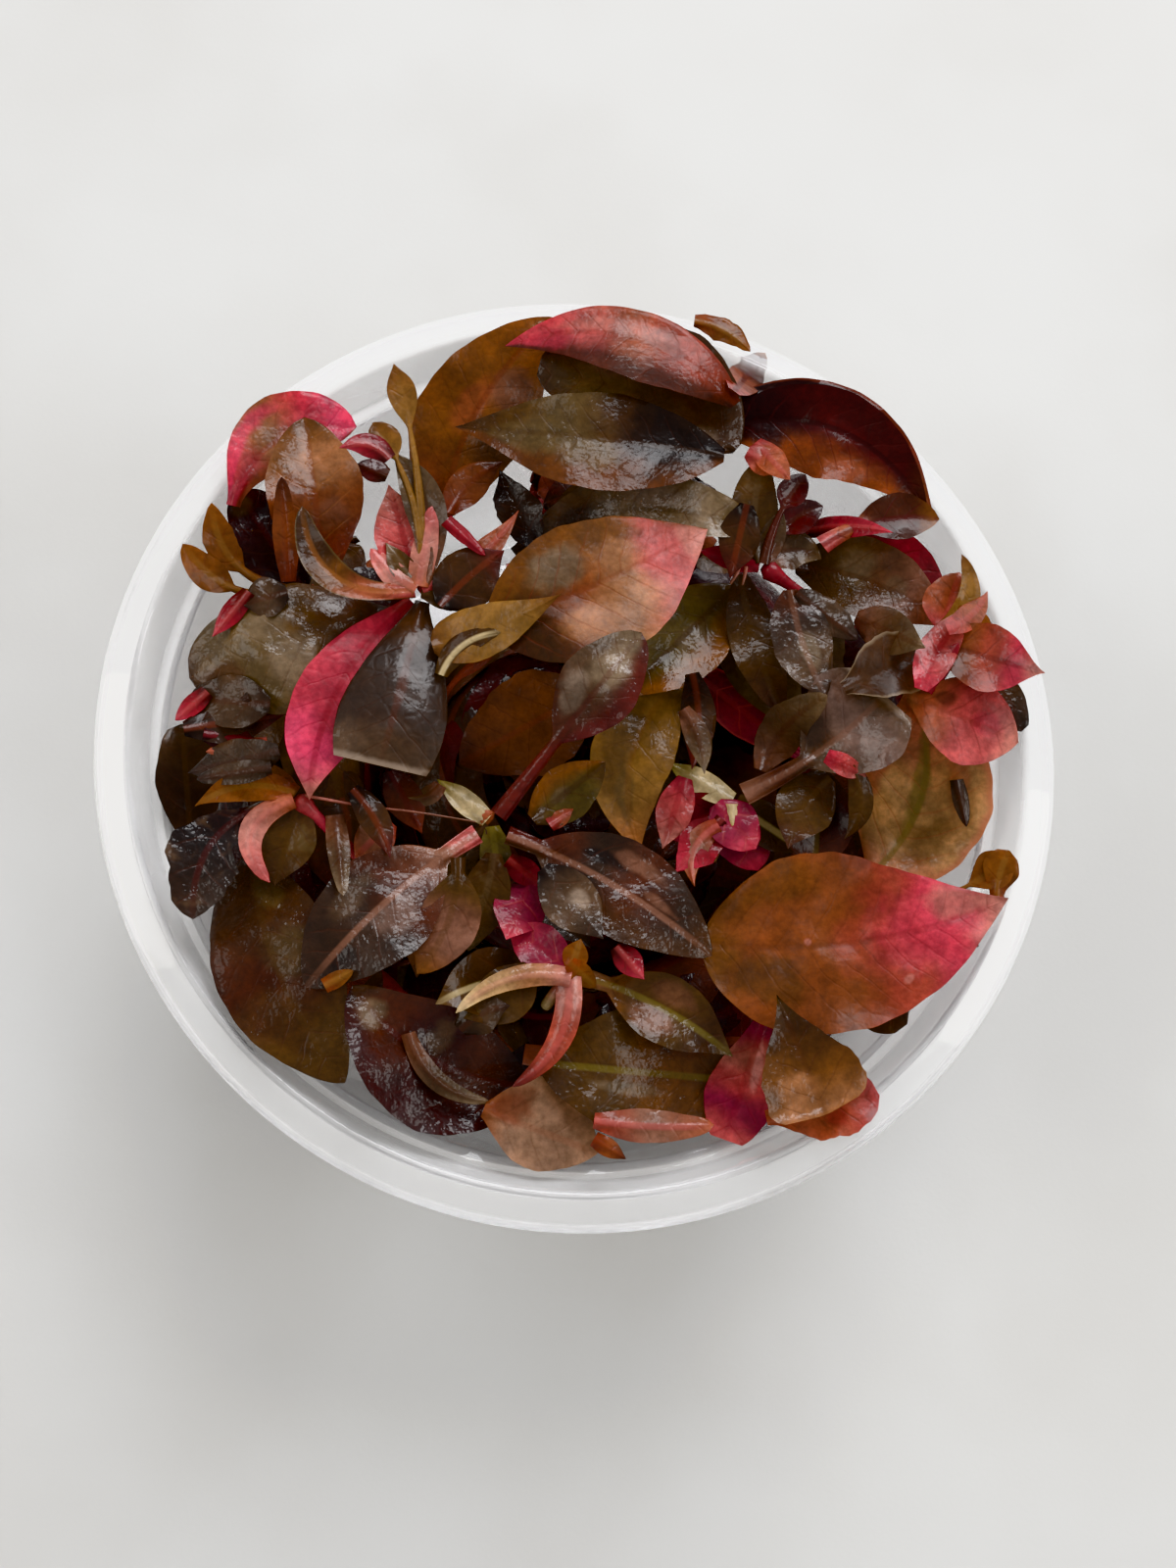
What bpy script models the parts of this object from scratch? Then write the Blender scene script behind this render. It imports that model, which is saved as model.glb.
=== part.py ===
"""Picked cuttings of Alternanthera reineckii, heaped in a clear round tub.

The tub stands on its foot ring with the origin under its middle. Seven whole cuttings lie in the bottom
of it. The stem tips and the loose leaves lie on those, one over another, up to a little above the rim.

The leaves' places were taken by looking down into the tub from EYE. A place is therefore kept as the
point of the level SIGHT_LEVEL that the eye sees it against, with its own height. Lines stay lines in
that space, so the heap is built there and only the finished corners are brought to their true places.
Each leaf is laid in turn, is a little limp, and is raised where the heap under it is in its way.
"""

import math
from dataclasses import dataclass

import bmesh
import bpy
import numpy as np
from mathutils import Vector

MM = 0.001

# The tub: a turned shell, radii and heights in millimetres.
WALL = 0.9
FOOT_RADIUS = 42.6
FOOT_WIDTH = 3.4
FOOT_HEIGHT = 0.7
FOOT_CURVE = 1.4
WALL_TOP_RADIUS = 50.6
STEP_HEIGHT = 39.1
LEDGE_RADIUS = 52.2
LEDGE_RISE = 0.4
RIM_RADIUS = 54.4
RIM_HEIGHT = 45.0
LIP_RADIUS = 58.5
LIP_DROP = 1.5
SKIRT = 2.6
ROUNDING = 0.5
TUB_SIDES = 40
SHARP_EDGE = 25.0
MERGE = 0.001

# How the heap is seen and laid.
EYE = Vector((-17.7, -59.1, 248.5))
SIGHT_LEVEL = 48.0
LEAF_THICKNESS = 0.8
LAY_GAP = 0.55
SETTLED = 4.0
HEAP_REACH = 64.0
HEAP_STEP = 0.4
EDGE_SLACK = 0.6
SLIVER = 1e-6
LIMPNESS_PASSES = 14
LEAF_SEGMENTS = 6
ARM_SEGMENTS = 5
STALK_WIDTH = 1.7
STEM_SIDES = 6
NODE_SWELL = 0.8
BLADE_FULLNESS = 0.8
CUTTING_TIP = 0.5
CUTTING_FULLNESS = 0.3
CUTTING_SIDES = 8
CUTTING_STEPS = 8

# Colours of the plain CAD materials.
OLIVE = (0.16, 0.12, 0.03)
AMBER = (0.35, 0.15, 0.02)
PINK = (0.60, 0.07, 0.12)
MAROON = (0.10, 0.01, 0.01)
SALMON = (0.45, 0.16, 0.09)
SLATE = (0.10, 0.09, 0.08)
CLEAR = (0.90, 0.92, 0.94)


@dataclass(frozen=True)
class Leaf:
    """One leaf, from its base to its tip, in millimetres and degrees."""

    name: str
    base: tuple
    tip: tuple
    width: float
    height: float
    colour: tuple
    rise: float = 0.0
    arch: float = 0.0
    bend: float = 0.0
    roll: float = 0.0
    cup: float = 12.0
    stalk: float = 0.0
    wide: float = 0.45
    cut: float = 1.0


@dataclass(frozen=True)
class Shoot:
    """A stem tip with its node, the stem below it and the small leaves that grow from it."""

    name: str
    node: tuple
    height: float
    stem_end: tuple
    stem_drop: float
    arms: tuple


@dataclass(frozen=True)
class Cutting:
    """The plump outer shape of a whole cutting that lies bent along the tub."""

    name: str
    radius: float
    start: float
    end: float
    height: float
    half_width: float
    half_height: float


CUTTINGS = (
    Cutting("lower_cutting_left", 34.3, 125.0, 228.0, 10.6, 9.0, 8.3),
    Cutting("lower_cutting_front", 34.3, 246.0, 348.0, 10.6, 9.0, 8.3),
    Cutting("lower_cutting_right", 34.3, 6.0, 107.0, 10.6, 9.0, 8.3),
    Cutting("middle_cutting_back", 36.0, 58.0, 100.0, 28.0, 9.6, 8.4),
    Cutting("middle_cutting_left", 37.0, 126.0, 240.0, 28.0, 10.0, 8.4),
    Cutting("middle_cutting_right", 37.0, 256.0, 398.0, 28.0, 10.0, 8.4),
    Cutting("middle_cutting_centre", 12.8, 10.0, 348.0, 19.2, 12.0, 16.5),
)

SHOOT_LEFT_EDGE = Shoot("shoot_left_edge", (-34.0, 15.8), 40.0, (-29.0, 13.0), 3.0, (
    Leaf("maroon", (-34.3, 16.1), (-42.5, 28.3), 10.0, 40.15, MAROON, roll=15.0),
    Leaf("spoon_high", (-34.3, 15.6), (-45.6, 26.8), 3.4, 39.9, AMBER, rise=9.0, bend=3.2, stalk=0.45),
    Leaf("spoon_low", (-34.3, 15.3), (-48.7, 21.4), 4.0, 40.3, AMBER, rise=9.5, bend=2.6, stalk=0.5),
))
SHOOT_LEFT = Shoot("shoot_left", (-34.0, -9.5), 43.0, (-26.0, -17.0), 4.0, (
    Leaf("fold", (-34.2, -9.0), (-45.5, -10.8), 4.0, 43.3, AMBER, bend=-1.6, cup=25.0),
    Leaf("torn", (-34.5, -9.8), (-45.0, -24.0), 8.0, 43.15, MAROON, bend=-4.0, stalk=0.2),
    Leaf("oval", (-33.8, -10.0), (-36.0, -20.0), 6.5, 43.0, OLIVE, rise=-1.5),
    Leaf("stub", (-34.0, -9.0), (-41.0, -5.0), 3.0, 42.85, OLIVE, cup=20.0),
))
SHOOT_RIGHT = Shoot("shoot_right", (43.5, 13.0), 44.0, (38.0, 6.0), 3.0, (
    Leaf("salmon", (43.6, 13.3), (46.2, 21.0), 7.0, 44.85, SALMON),
    Leaf("curled", (43.2, 13.4), (46.6, 23.4), 2.8, 45.3, AMBER, bend=-2.4, rise=1.5, cup=30.0),
    Leaf("round", (43.9, 13.1), (50.3, 12.6), 4.6, 45.15, AMBER, bend=1.6, rise=1.0),
    Leaf("slate", (43.9, 12.7), (52.8, 0.6), 4.5, 44.7, SLATE, bend=1.5, stalk=0.45, cup=6.0),
    Leaf("stalk", (43.8, 13.2), (40.5, 6.0), 3.2, 45.45, PINK),
))
SHOOT_UPPER_RIGHT = Shoot("shoot_upper_right", (21.5, 21.0), 45.0, (32.5, 13.0), 1.5, (
    Leaf("olive", (21.2, 21.4), (22.6, 36.8), 5.0, 45.3, OLIVE, rise=2.0, bend=1.2),
    Leaf("grey", (21.7, 21.5), (24.2, 28.8), 3.0, 45.15, SALMON, rise=1.5),
    Leaf("point", (21.9, 21.2), (28.8, 22.2), 5.0, 45.0, OLIVE, bend=1.5),
    Leaf("bud_low", (21.8, 21.4), (29.3, 29.2), 4.2, 44.85, MAROON, bend=1.5, rise=1.5, stalk=0.4, cup=30.0),
    Leaf("bud_high", (21.6, 21.3), (27.2, 33.4), 3.6, 45.45, MAROON, bend=0.8, rise=2.5, stalk=0.6, cup=30.0),
    Leaf("stalk", (21.1, 21.2), (13.5, 22.8), 3.0, 45.0, PINK),
))
SHOOT_MIDDLE_RIGHT = Shoot("shoot_middle_right", (17.0, -9.0), 45.0, (14.5, -16.0), 3.5, (
    Leaf("pale", (17.1, -8.8), (9.3, -4.3), 2.6, 45.45, SALMON),
    Leaf("midrib", (17.3, -9.2), (26.0, -15.0), 5.0, 45.3, OLIVE, cup=6.0),
    Leaf("round", (16.9, -9.6), (20.0, -17.2), 7.2, 45.15, PINK, rise=-1.0, cup=4.0),
    Leaf("crimson", (16.7, -9.4), (9.0, -13.5), 7.5, 44.9, PINK, rise=-2.0, cup=25.0),
))
SHOOT_RIGHT_EDGE = Shoot("shoot_right_edge", (26.7, -17.0), 42.0, (21.0, -19.0), 3.0, (
    Leaf("brown", (26.7, -16.7), (28.0, -3.5), 9.5, 42.0, OLIVE, cup=18.0),
    Leaf("amber", (27.0, -16.9), (50.4, -14.8), 4.2, 42.15, AMBER, rise=6.0, bend=-4.5, stalk=0.76, cup=20.0),
    Leaf("sliver", (27.2, -17.1), (46.0, -25.8), 3.0, 41.85, OLIVE, rise=3.0, stalk=0.76, cup=20.0),
    Leaf("blob", (26.9, -17.4), (37.0, -35.0), 5.5, 42.0, OLIVE, rise=2.5, bend=-2.5, stalk=0.6, cup=20.0),
))
SHOOT_UPPER_LEFT = Shoot("shoot_upper_left", (-20.5, 16.5), 47.0, (-16.0, 19.5), 1.5, (
    Leaf("curled", (-21.0, 16.5), (-34.8, 26.8), 4.4, 47.45, OLIVE, bend=4.6, rise=1.5, cup=25.0),
    Leaf("pink", (-20.6, 17.0), (-24.5, 30.0), 7.0, 47.0, SALMON, rise=1.0, cup=10.0),
    Leaf("pair_low", (-20.4, 17.1), (-26.6, 38.2), 3.4, 47.15, AMBER, rise=3.5, bend=-2.0, stalk=0.76, wide=0.5),
    Leaf("pair_high", (-20.3, 17.2), (-24.3, 46.2), 3.6, 46.9, AMBER, rise=5.0, bend=-1.2, stalk=0.7, wide=0.55),
    Leaf("grey", (-20.2, 17.0), (-24.2, 34.4), 5.2, 47.3, SLATE, bend=-2.6, rise=2.0, cup=20.0),
    Leaf("twisted", (-20.2, 16.3), (-14.2, 13.8), 3.2, 47.15, OLIVE, bend=0.5, cup=20.0),
    Leaf("twisted_tip", (-20.8, 16.8), (-24.6, 22.4), 3.0, 47.6, OLIVE, rise=0.5, cup=20.0),
    Leaf("amber", (-20.4, 16.0), (-2.2, 16.6), 6.0, 46.85, AMBER, bend=-4.0, rise=1.0, cup=14.0),
))
SHOOT_CENTRE = Shoot("shoot_centre", (-11.5, -12.0), 49.0, (-16.0, -8.0), 3.0, (
    Leaf("green", (-11.3, -12.5), (-10.2, -20.3), 3.6, 49.3, OLIVE, cup=16.0),
    Leaf("pale", (-11.8, -11.7), (-17.8, -7.0), 2.8, 49.15, SALMON, rise=-1.0, cup=20.0),
    Leaf("tan", (-11.8, -12.4), (-19.6, -30.3), 6.6, 48.85, SALMON, rise=-2.5, bend=-1.8, stalk=0.25),
    Leaf("olive", (-11.5, -12.6), (-13.8, -27.2), 6.4, 49.0, OLIVE, rise=-2.0, stalk=0.1),
))
SHOOT_BOTTOM = Shoot("shoot_bottom", (-2.0, -29.2), 48.0, (-5.0, -33.5), 2.0, (
    Leaf("spur", (-2.0, -29.0), (-0.9, -25.6), 2.2, 48.15, AMBER, rise=1.0),
    Leaf("stalk", (-2.4, -29.6), (-8.6, -42.5), 3.2, 48.0, SALMON, bend=-2.0, rise=-1.5),
    Leaf("pink", (-2.4, -28.9), (-9.4, -24.0), 5.6, 47.85, PINK, rise=-2.0),
))

# The leaves and shoots, in the order they are laid.
HEAP_ORDER = (
    Leaf("leaf_wall_left", (-45.5, -17.0), (-47.6, -1.0), 9.0, 37.0, OLIVE, roll=30.0),
    Leaf("leaf_lower_left", (-39.0, -16.5), (-27.3, -42.2), 14.5, 38.0, OLIVE, bend=-2.0, roll=-12.0, cup=4.0),
    SHOOT_LEFT_EDGE,
    Leaf("leaf_red_right", (29.0, 25.5), (44.5, 14.2), 8.0, 40.0, MAROON, bend=3.0),
    Leaf("leaf_magenta_strip", (11.5, 8.0), (26.5, -4.0), 6.0, 40.0, PINK, cup=6.0),
    SHOOT_LEFT,
    SHOOT_MIDDLE_RIGHT,
    Leaf("leaf_olive_right", (25.5, 21.0), (44.5, 13.5), 10.5, 41.5, OLIVE, bend=2.0, arch=2.0),
    SHOOT_RIGHT,
    Leaf("leaf_orange_back", (19.0, 43.5), (43.2, 28.8), 8.5, 43.0, AMBER, bend=6.5, arch=2.0),
    Leaf("leaf_maroon_arched", (16.5, 39.0), (42.4, 29.0), 11.0, 45.0, MAROON, bend=6.0, arch=3.0, roll=-14.0),
    SHOOT_UPPER_RIGHT,
    Leaf("leaf_amber_top", (-17.7, 26.0), (-4.0, 53.5), 14.5, 41.0, AMBER, rise=5.0, bend=3.0, arch=1.5),
    Leaf("leaf_pale_right", (33.5, -17.5), (39.5, 6.0), 16.5, 42.0, SALMON, bend=-4.0, cup=8.0),
    SHOOT_RIGHT_EDGE,
    Leaf("leaf_salmon_right_edge", (39.0, 5.0), (52.3, -0.8), 11.5, 45.0, SALMON, arch=1.5, wide=0.55),
    Leaf("leaf_olive_mid_right", (17.0, 17.0), (25.3, -0.5), 9.5, 42.5, OLIVE, roll=8.0),
    Leaf("leaf_shiny_right", (26.0, 18.0), (29.5, 3.5), 7.5, 44.0, SLATE, roll=-10.0),
    Leaf("leaf_ochre_centre", (11.0, 6.0), (6.0, -15.3), 10.0, 43.0, AMBER, bend=-3.5, cup=10.0),
    Leaf("leaf_green_centre", (17.8, 18.0), (4.3, 4.0), 11.0, 43.5, OLIVE, cup=10.0, arch=1.5),
    Leaf("leaf_olive_centre", (0.5, 4.5), (-15.2, -5.0), 12.5, 42.5, OLIVE, arch=1.5),
    Leaf("leaf_lilac_cut", (18.5, -8.0), (38.8, 8.0), 13.0, 45.0, SLATE, bend=-1.5, stalk=0.32, cut=0.84, arch=2.0),
    Leaf("leaf_olive_fragment", (31.0, 5.5), (43.5, 11.8), 8.5, 45.0, OLIVE, cut=0.84),
    Leaf("leaf_pink_tip_right", (43.0, 11.6), (56.2, 8.2), 9.0, 46.5, PINK, arch=1.0),
    Leaf("leaf_brown_stalked", (29.0, 24.0), (44.0, 28.0), 6.0, 46.0, AMBER, bend=1.5, stalk=0.3, cup=22.0),
    Leaf("leaf_grey_long", (-9.0, 21.5), (19.6, 26.0), 7.0, 44.5, SLATE, bend=4.0, roll=-10.0),
    Leaf("leaf_black_curled", (-6.5, 22.5), (-11.0, 32.5), 6.0, 44.0, SLATE, cup=28.0),
    Leaf("leaf_glossy_top", (18.6, 36.5), (-6.5, 45.6), 13.5, 44.5, SLATE, bend=-2.5, arch=2.5),
    Leaf("leaf_pink_over_rim", (18.6, 42.6), (-10.5, 49.3), 9.5, 47.0, PINK, bend=-5.5, arch=2.5, roll=-18.0),
    Leaf("leaf_pointed_top", (17.0, 35.5), (-16.5, 38.0), 12.5, 47.0, OLIVE, bend=-0.5, arch=2.0, cup=8.0),
    Leaf("leaf_pink_rim_left", (-43.0, 26.5), (-28.6, 37.5), 9.5, 44.0, PINK, bend=4.0, arch=2.0),
    Leaf("leaf_salmon_left", (-31.5, 17.0), (-35.0, 38.5), 12.0, 44.5, SALMON, arch=1.5),
    Leaf("leaf_grey_left", (-23.5, 13.5), (-47.0, 4.6), 16.0, 43.0, SLATE, arch=3.0, cup=-8.0),
    Leaf("leaf_pink_left", (-21.3, 15.0), (-32.5, -9.8), 10.0, 46.0, PINK, bend=-4.0, arch=2.0, cup=10.0),
    Leaf("leaf_dark_cut", (-20.0, 15.0), (-26.2, -13.5), 13.0, 47.0, SLATE, cut=0.72, arch=3.0, cup=-10.0),
    SHOOT_UPPER_LEFT,
    Leaf("leaf_olive_pink_centre", (-12.5, 11.5), (14.7, 25.4), 15.5, 45.5, PINK, bend=-1.0, arch=2.5, cup=8.0),
    Leaf("leaf_glossy_small", (-7.0, -17.0), (0.2, -26.6), 7.5, 43.5, SLATE, cup=22.0),
    Leaf("leaf_dark_curled", (-6.5, -42.5), (-26.8, -31.3), 14.0, 42.0, MAROON, bend=2.8, cup=20.0),
    Leaf("leaf_tan_bottom", (-11.8, -45.0), (1.0, -49.8), 8.5, 43.0, SALMON, cup=6.0, wide=0.55),
    Leaf("leaf_olive_bottom", (16.2, -41.3), (-5.8, -39.8), 14.5, 42.5, OLIVE, cup=8.0),
    Leaf("leaf_pink_bottom", (21.0, -32.5), (15.2, -49.3), 8.0, 43.5, PINK, wide=0.6, cut=0.94),
    Leaf("leaf_olive_folded", (-3.8, -30.2), (-17.4, -33.3), 6.5, 45.5, OLIVE, bend=-1.2, cup=25.0),
    SHOOT_BOTTOM,
    Leaf("leaf_olive_stalked", (0.2, -30.2), (16.5, -38.9), 8.2, 46.5, OLIVE, bend=1.0, stalk=0.12, cup=16.0),
    Leaf("leaf_largest", (13.2, -25.8), (49.5, -20.3), 21.5, 45.5, PINK, bend=-2.8, arch=2.5, wide=0.4, cup=6.0),
    Leaf("leaf_salmon_corner", (20.2, -45.8), (33.4, -43.2), 8.0, 46.0, SALMON),
    Leaf("leaf_olive_corner", (27.0, -45.2), (22.0, -32.2), 11.0, 48.0, OLIVE, wide=0.35),
    SHOOT_CENTRE,
    Leaf("leaf_dark_lower_right", (-9.5, -13.5), (14.3, -27.4), 10.5, 47.5, SLATE, bend=1.3, stalk=0.14, arch=1.5),
    Leaf("leaf_grey_lower_left", (-13.0, -13.4), (-32.0, -31.6), 13.0, 48.0, SLATE, bend=-1.2, stalk=0.18, arch=1.5),
    Leaf("leaf_grey_centre", (-10.6, -11.2), (6.4, 11.9), 10.0, 49.0, SLATE, stalk=0.4, rise=2.0, cup=18.0),
)


def to_place(point):
    """The true place of a point of the sight space."""
    fraction = (point[2] - SIGHT_LEVEL) / (EYE.z - SIGHT_LEVEL)
    return Vector((
        point[0] + (EYE.x - point[0]) * fraction,
        point[1] + (EYE.y - point[1]) * fraction,
        point[2],
    ))


def to_sight(points):
    """True places, as rows, brought into the sight space."""
    fraction = (points[:, 2] - SIGHT_LEVEL) / (EYE.z - SIGHT_LEVEL)
    seen = points.copy()
    seen[:, 0] = (points[:, 0] - EYE.x * fraction) / (1.0 - fraction)
    seen[:, 1] = (points[:, 1] - EYE.y * fraction) / (1.0 - fraction)
    return seen


def blade_shape(t, wide):
    """Share of the full width at t along the blade, one at t = wide and none at its ends."""
    if t <= 0.0 or t >= 1.0:
        return 0.0
    return math.sin(math.pi * t ** (math.log(0.5) / math.log(wide))) ** BLADE_FULLNESS


def leaf_point(leaf, u, v):
    """The middle surface of a leaf: u runs from base to tip, v from its right margin, -1, to its left, 1."""
    base, tip = Vector(leaf.base), Vector(leaf.tip)
    chord = tip - base
    left = Vector((-chord.y, chord.x)).normalized()
    belly = 4.0 * u * (1.0 - u)
    slope = (chord + left * leaf.bend * 4.0 * (1.0 - 2.0 * u)).normalized()
    across = Vector((-slope.y, slope.x))
    blade = blade_shape((u - leaf.stalk) / (1.0 - leaf.stalk), leaf.wide)
    half_width = math.hypot(leaf.width * blade, STALK_WIDTH * (1.0 - u)) / 2.0
    angle = math.radians(leaf.cup + math.copysign(leaf.roll, v))
    place = base + chord * u + left * leaf.bend * belly + across * v * half_width * math.cos(angle)
    height = leaf.height - SETTLED + leaf.rise * u + leaf.arch * belly + abs(v) * half_width * math.sin(angle)
    return place.x, place.y, height


def leaf_sheet(leaf, segments):
    """Rows of three points, right margin, midrib and left margin, from the base to the tip or the cut."""
    return np.array([
        [leaf_point(leaf, leaf.cut * row / segments, side) for side in (-1, 0, 1)]
        for row in range(segments + 1)
    ])


def stem_sheet(shoot, segments=3):
    """The stem of a shoot as a flat strip along its axis, for laying it."""
    start, end = Vector(shoot.node), Vector(shoot.stem_end)
    across = (end - start).orthogonal().normalized() * STALK_WIDTH / 2.0
    rows = []
    for row in range(segments + 1):
        share = row / segments
        centre = start.lerp(end, share)
        height = shoot.height - SETTLED - shoot.stem_drop * share ** 2
        rows.append([(*(centre + across * side), height) for side in (-1, 0, 1)])
    return np.array(rows)


def sheet_triangles(rows):
    """Corner indices of both ways to halve each four-sided face of a sheet of three columns."""
    for row in range(rows - 1):
        for column in range(2):
            near = (row, column), (row, column + 1)
            far = (row + 1, column), (row + 1, column + 1)
            yield near[0], near[1], far[0]
            yield far[1], far[0], near[1]
            yield near[0], near[1], far[1]
            yield near[0], far[1], far[0]


class Heap:
    """The highest surface laid so far, on a square mesh of sight lines."""

    def __init__(self):
        count = round(2.0 * HEAP_REACH / HEAP_STEP) + 1
        self.axis = np.linspace(-HEAP_REACH, HEAP_REACH, count)
        self.top = np.zeros((count, count))

    def under(self, corners):
        """The mesh points that a triangle covers, with its height at each."""
        low = np.floor((corners[:, :2].min(axis=0) + HEAP_REACH) / HEAP_STEP).astype(int) - 1
        high = np.ceil((corners[:, :2].max(axis=0) + HEAP_REACH) / HEAP_STEP).astype(int) + 2
        low, high = np.clip(low, 0, len(self.axis)), np.clip(high, 0, len(self.axis))
        xs, ys = np.meshgrid(self.axis[low[0]:high[0]], self.axis[low[1]:high[1]], indexing="ij")
        a, ab, ac = corners[0], corners[1] - corners[0], corners[2] - corners[0]
        area = ab[0] * ac[1] - ab[1] * ac[0]
        if abs(area) < SLIVER:
            return None
        share_b = ((xs - a[0]) * ac[1] - (ys - a[1]) * ac[0]) / area
        share_c = ((ys - a[1]) * ab[0] - (xs - a[0]) * ab[1]) / area
        longest = max(np.hypot(*ab[:2]), np.hypot(*ac[:2]), np.hypot(*(ab - ac)[:2]))
        slack = EDGE_SLACK * HEAP_STEP * longest / abs(area)
        inside = (share_b > -slack) & (share_c > -slack) & (share_b + share_c < 1.0 + slack)
        share_b, share_c = np.clip(share_b, 0.0, 1.0), np.clip(share_c, 0.0, 1.0)
        height = a[2] + share_b * ab[2] + share_c * ac[2]
        ix, iy = np.nonzero(inside)
        return ix + low[0], iy + low[1], height[inside]

    def add(self, corners):
        """Takes one triangle of a laid surface into the heap."""
        covered = self.under(corners)
        if covered is not None:
            ix, iy, height = covered
            np.maximum.at(self.top, (ix, iy), height)

    def add_mesh(self, mesh):
        """Takes the faces of a mesh in true places, in metres, into the heap."""
        mesh.calc_loop_triangles()
        seen = to_sight(np.array([vertex.co[:] for vertex in mesh.vertices]) / MM)
        for triangle in mesh.loop_triangles:
            self.add(seen[list(triangle.vertices)])

    def need(self, sheet, thickness):
        """How far each point of a sheet has to rise for its underside to clear the heap."""
        need = np.zeros(sheet.shape[:2])
        for triangle in sheet_triangles(len(sheet)):
            covered = self.under(np.array([sheet[index] for index in triangle]))
            if covered is None or len(covered[0]) == 0:
                continue
            ix, iy, height = covered
            short = (self.top[ix, iy] + LAY_GAP + thickness / 2.0 - height).max()
            for index in triangle:
                need[index] = max(need[index], short)
        return need

    def cover(self, sheet, thickness):
        """Takes the upper side of a laid sheet into the heap."""
        upper = sheet + (0.0, 0.0, thickness / 2.0)
        for triangle in sheet_triangles(len(sheet)):
            self.add(np.array([upper[index] for index in triangle]))

    def lay_leaf(self, leaf):
        """Lays a limp leaf: it bridges what it rests on, and gives way where the heap is high."""
        sheet = leaf_sheet(leaf, LEAF_SEGMENTS)
        need = self.need(sheet, LEAF_THICKNESS)
        if leaf.cut == 1.0:
            need[-1] = need[-1].max()
        lift = need.copy()
        for _ in range(LIMPNESS_PASSES):
            edged = np.pad(lift, 1, mode="edge")
            around = (edged[:-2, 1:-1] + edged[2:, 1:-1] + edged[1:-1, :-2] + edged[1:-1, 2:]) / 4.0
            lift = np.maximum(need, around)
            if leaf.cut == 1.0:
                lift[-1] = lift[-1].max()
        sheet[..., 2] += lift
        self.cover(sheet, LEAF_THICKNESS)
        return sheet

    def lay_shoot(self, shoot):
        """Lays a shoot, which is stiff: all of it rises by the most that any part needs."""
        stem = stem_sheet(shoot), STALK_WIDTH
        sheets = [stem] + [(leaf_sheet(arm, ARM_SEGMENTS), LEAF_THICKNESS) for arm in shoot.arms]
        lift = max(self.need(sheet, thickness).max() for sheet, thickness in sheets)
        for sheet, thickness in sheets:
            sheet[..., 2] += lift
            self.cover(sheet, thickness)
        return [sheet for sheet, _ in sheets]


def material(name, colour, roughness=0.35, alpha=1.0):
    """A plain Principled material."""
    made = bpy.data.materials.new(name)
    made.use_nodes = True
    shader = made.node_tree.nodes["Principled BSDF"]
    shader.inputs["Base Color"].default_value = (*colour, 1.0)
    shader.inputs["Roughness"].default_value = roughness
    shader.inputs["Alpha"].default_value = alpha
    return made


def add_object(name, bm, finish):
    """Writes a bmesh whose sizes are true places in millimetres to a new object."""
    bmesh.ops.scale(bm, vec=(MM, MM, MM), verts=bm.verts)
    bmesh.ops.recalc_face_normals(bm, faces=bm.faces)
    mesh = bpy.data.meshes.new(name)
    bm.to_mesh(mesh)
    bm.free()
    mesh.materials.append(finish)
    made = bpy.data.objects.new(name, mesh)
    bpy.context.scene.collection.objects.link(made)
    return made


def sheet_solid(sheet, thickness):
    """A closed solid from a sheet of points, brought from the sight space to true places."""
    rows = len(sheet) - 1
    bm = bmesh.new()
    bmesh.ops.create_grid(bm, x_segments=rows, y_segments=2, size=1.0)
    for vertex in bm.verts:
        row, column = round((vertex.co.x + 1.0) / 2.0 * rows), round(vertex.co.y + 1.0)
        vertex.co = Vector(sheet[row, column]) + Vector((0.0, 0.0, thickness / 2.0))
    bmesh.ops.remove_doubles(bm, verts=bm.verts, dist=MERGE)
    bmesh.ops.triangulate(bm, faces=bm.faces)
    lower = bmesh.ops.extrude_face_region(bm, geom=bm.faces[:], use_keep_orig=True)["geom"]
    lower_points = [part for part in lower if isinstance(part, bmesh.types.BMVert)]
    bmesh.ops.translate(bm, verts=lower_points, vec=(0.0, 0.0, -thickness))
    for vertex in bm.verts:
        vertex.co = to_place(vertex.co)
    return bm


def make_leaf(leaf, sheet):
    """One leaf as a thin closed solid."""
    return add_object(leaf.name, sheet_solid(sheet, LEAF_THICKNESS), material(leaf.name, leaf.colour))


def upright_tube(sides, steps):
    """A closed tube one high about the Z axis, one in radius, with rings of points at even steps."""
    bm = bmesh.new()
    bmesh.ops.create_cone(bm, cap_ends=True, segments=sides, radius1=1.0, radius2=1.0, depth=1.0)
    side_edges = [edge for edge in bm.edges if abs(edge.verts[0].co.z - edge.verts[1].co.z) > 0.5]
    bmesh.ops.subdivide_edges(bm, edges=side_edges, cuts=steps - 1, use_grid_fill=False)
    return bm


def stem_solid(sheet):
    """The stem of a shoot as a closed tube, swollen at the node it starts from."""
    steps = len(sheet) - 1
    bm = upright_tube(STEM_SIDES, steps)
    across = Vector(sheet[0, 2] - sheet[0, 0]).normalized()
    for vertex in bm.verts:
        row = round((vertex.co.z + 0.5) * steps)
        radius = STALK_WIDTH * (NODE_SWELL if row == 0 else 0.5)
        vertex.co = to_place(
            Vector(sheet[row, 1]) + across * vertex.co.x * radius + Vector((0.0, 0.0, vertex.co.y * radius))
        )
    return bm


def make_shoot(shoot, sheets):
    """A stem with its small leaves, united in one closed solid."""
    finish = material(shoot.name, PINK)
    body = add_object(shoot.name, stem_solid(sheets[0]), finish)
    for arm, sheet in zip(shoot.arms, sheets[1:]):
        guide = add_object(f"guide_{shoot.name}_{arm.name}", sheet_solid(sheet, LEAF_THICKNESS), finish)
        guide.hide_render = True
        guide.display_type = "WIRE"
        union = body.modifiers.new(arm.name, "BOOLEAN")
        union.operation = "UNION"
        union.object = guide
    return body


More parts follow.
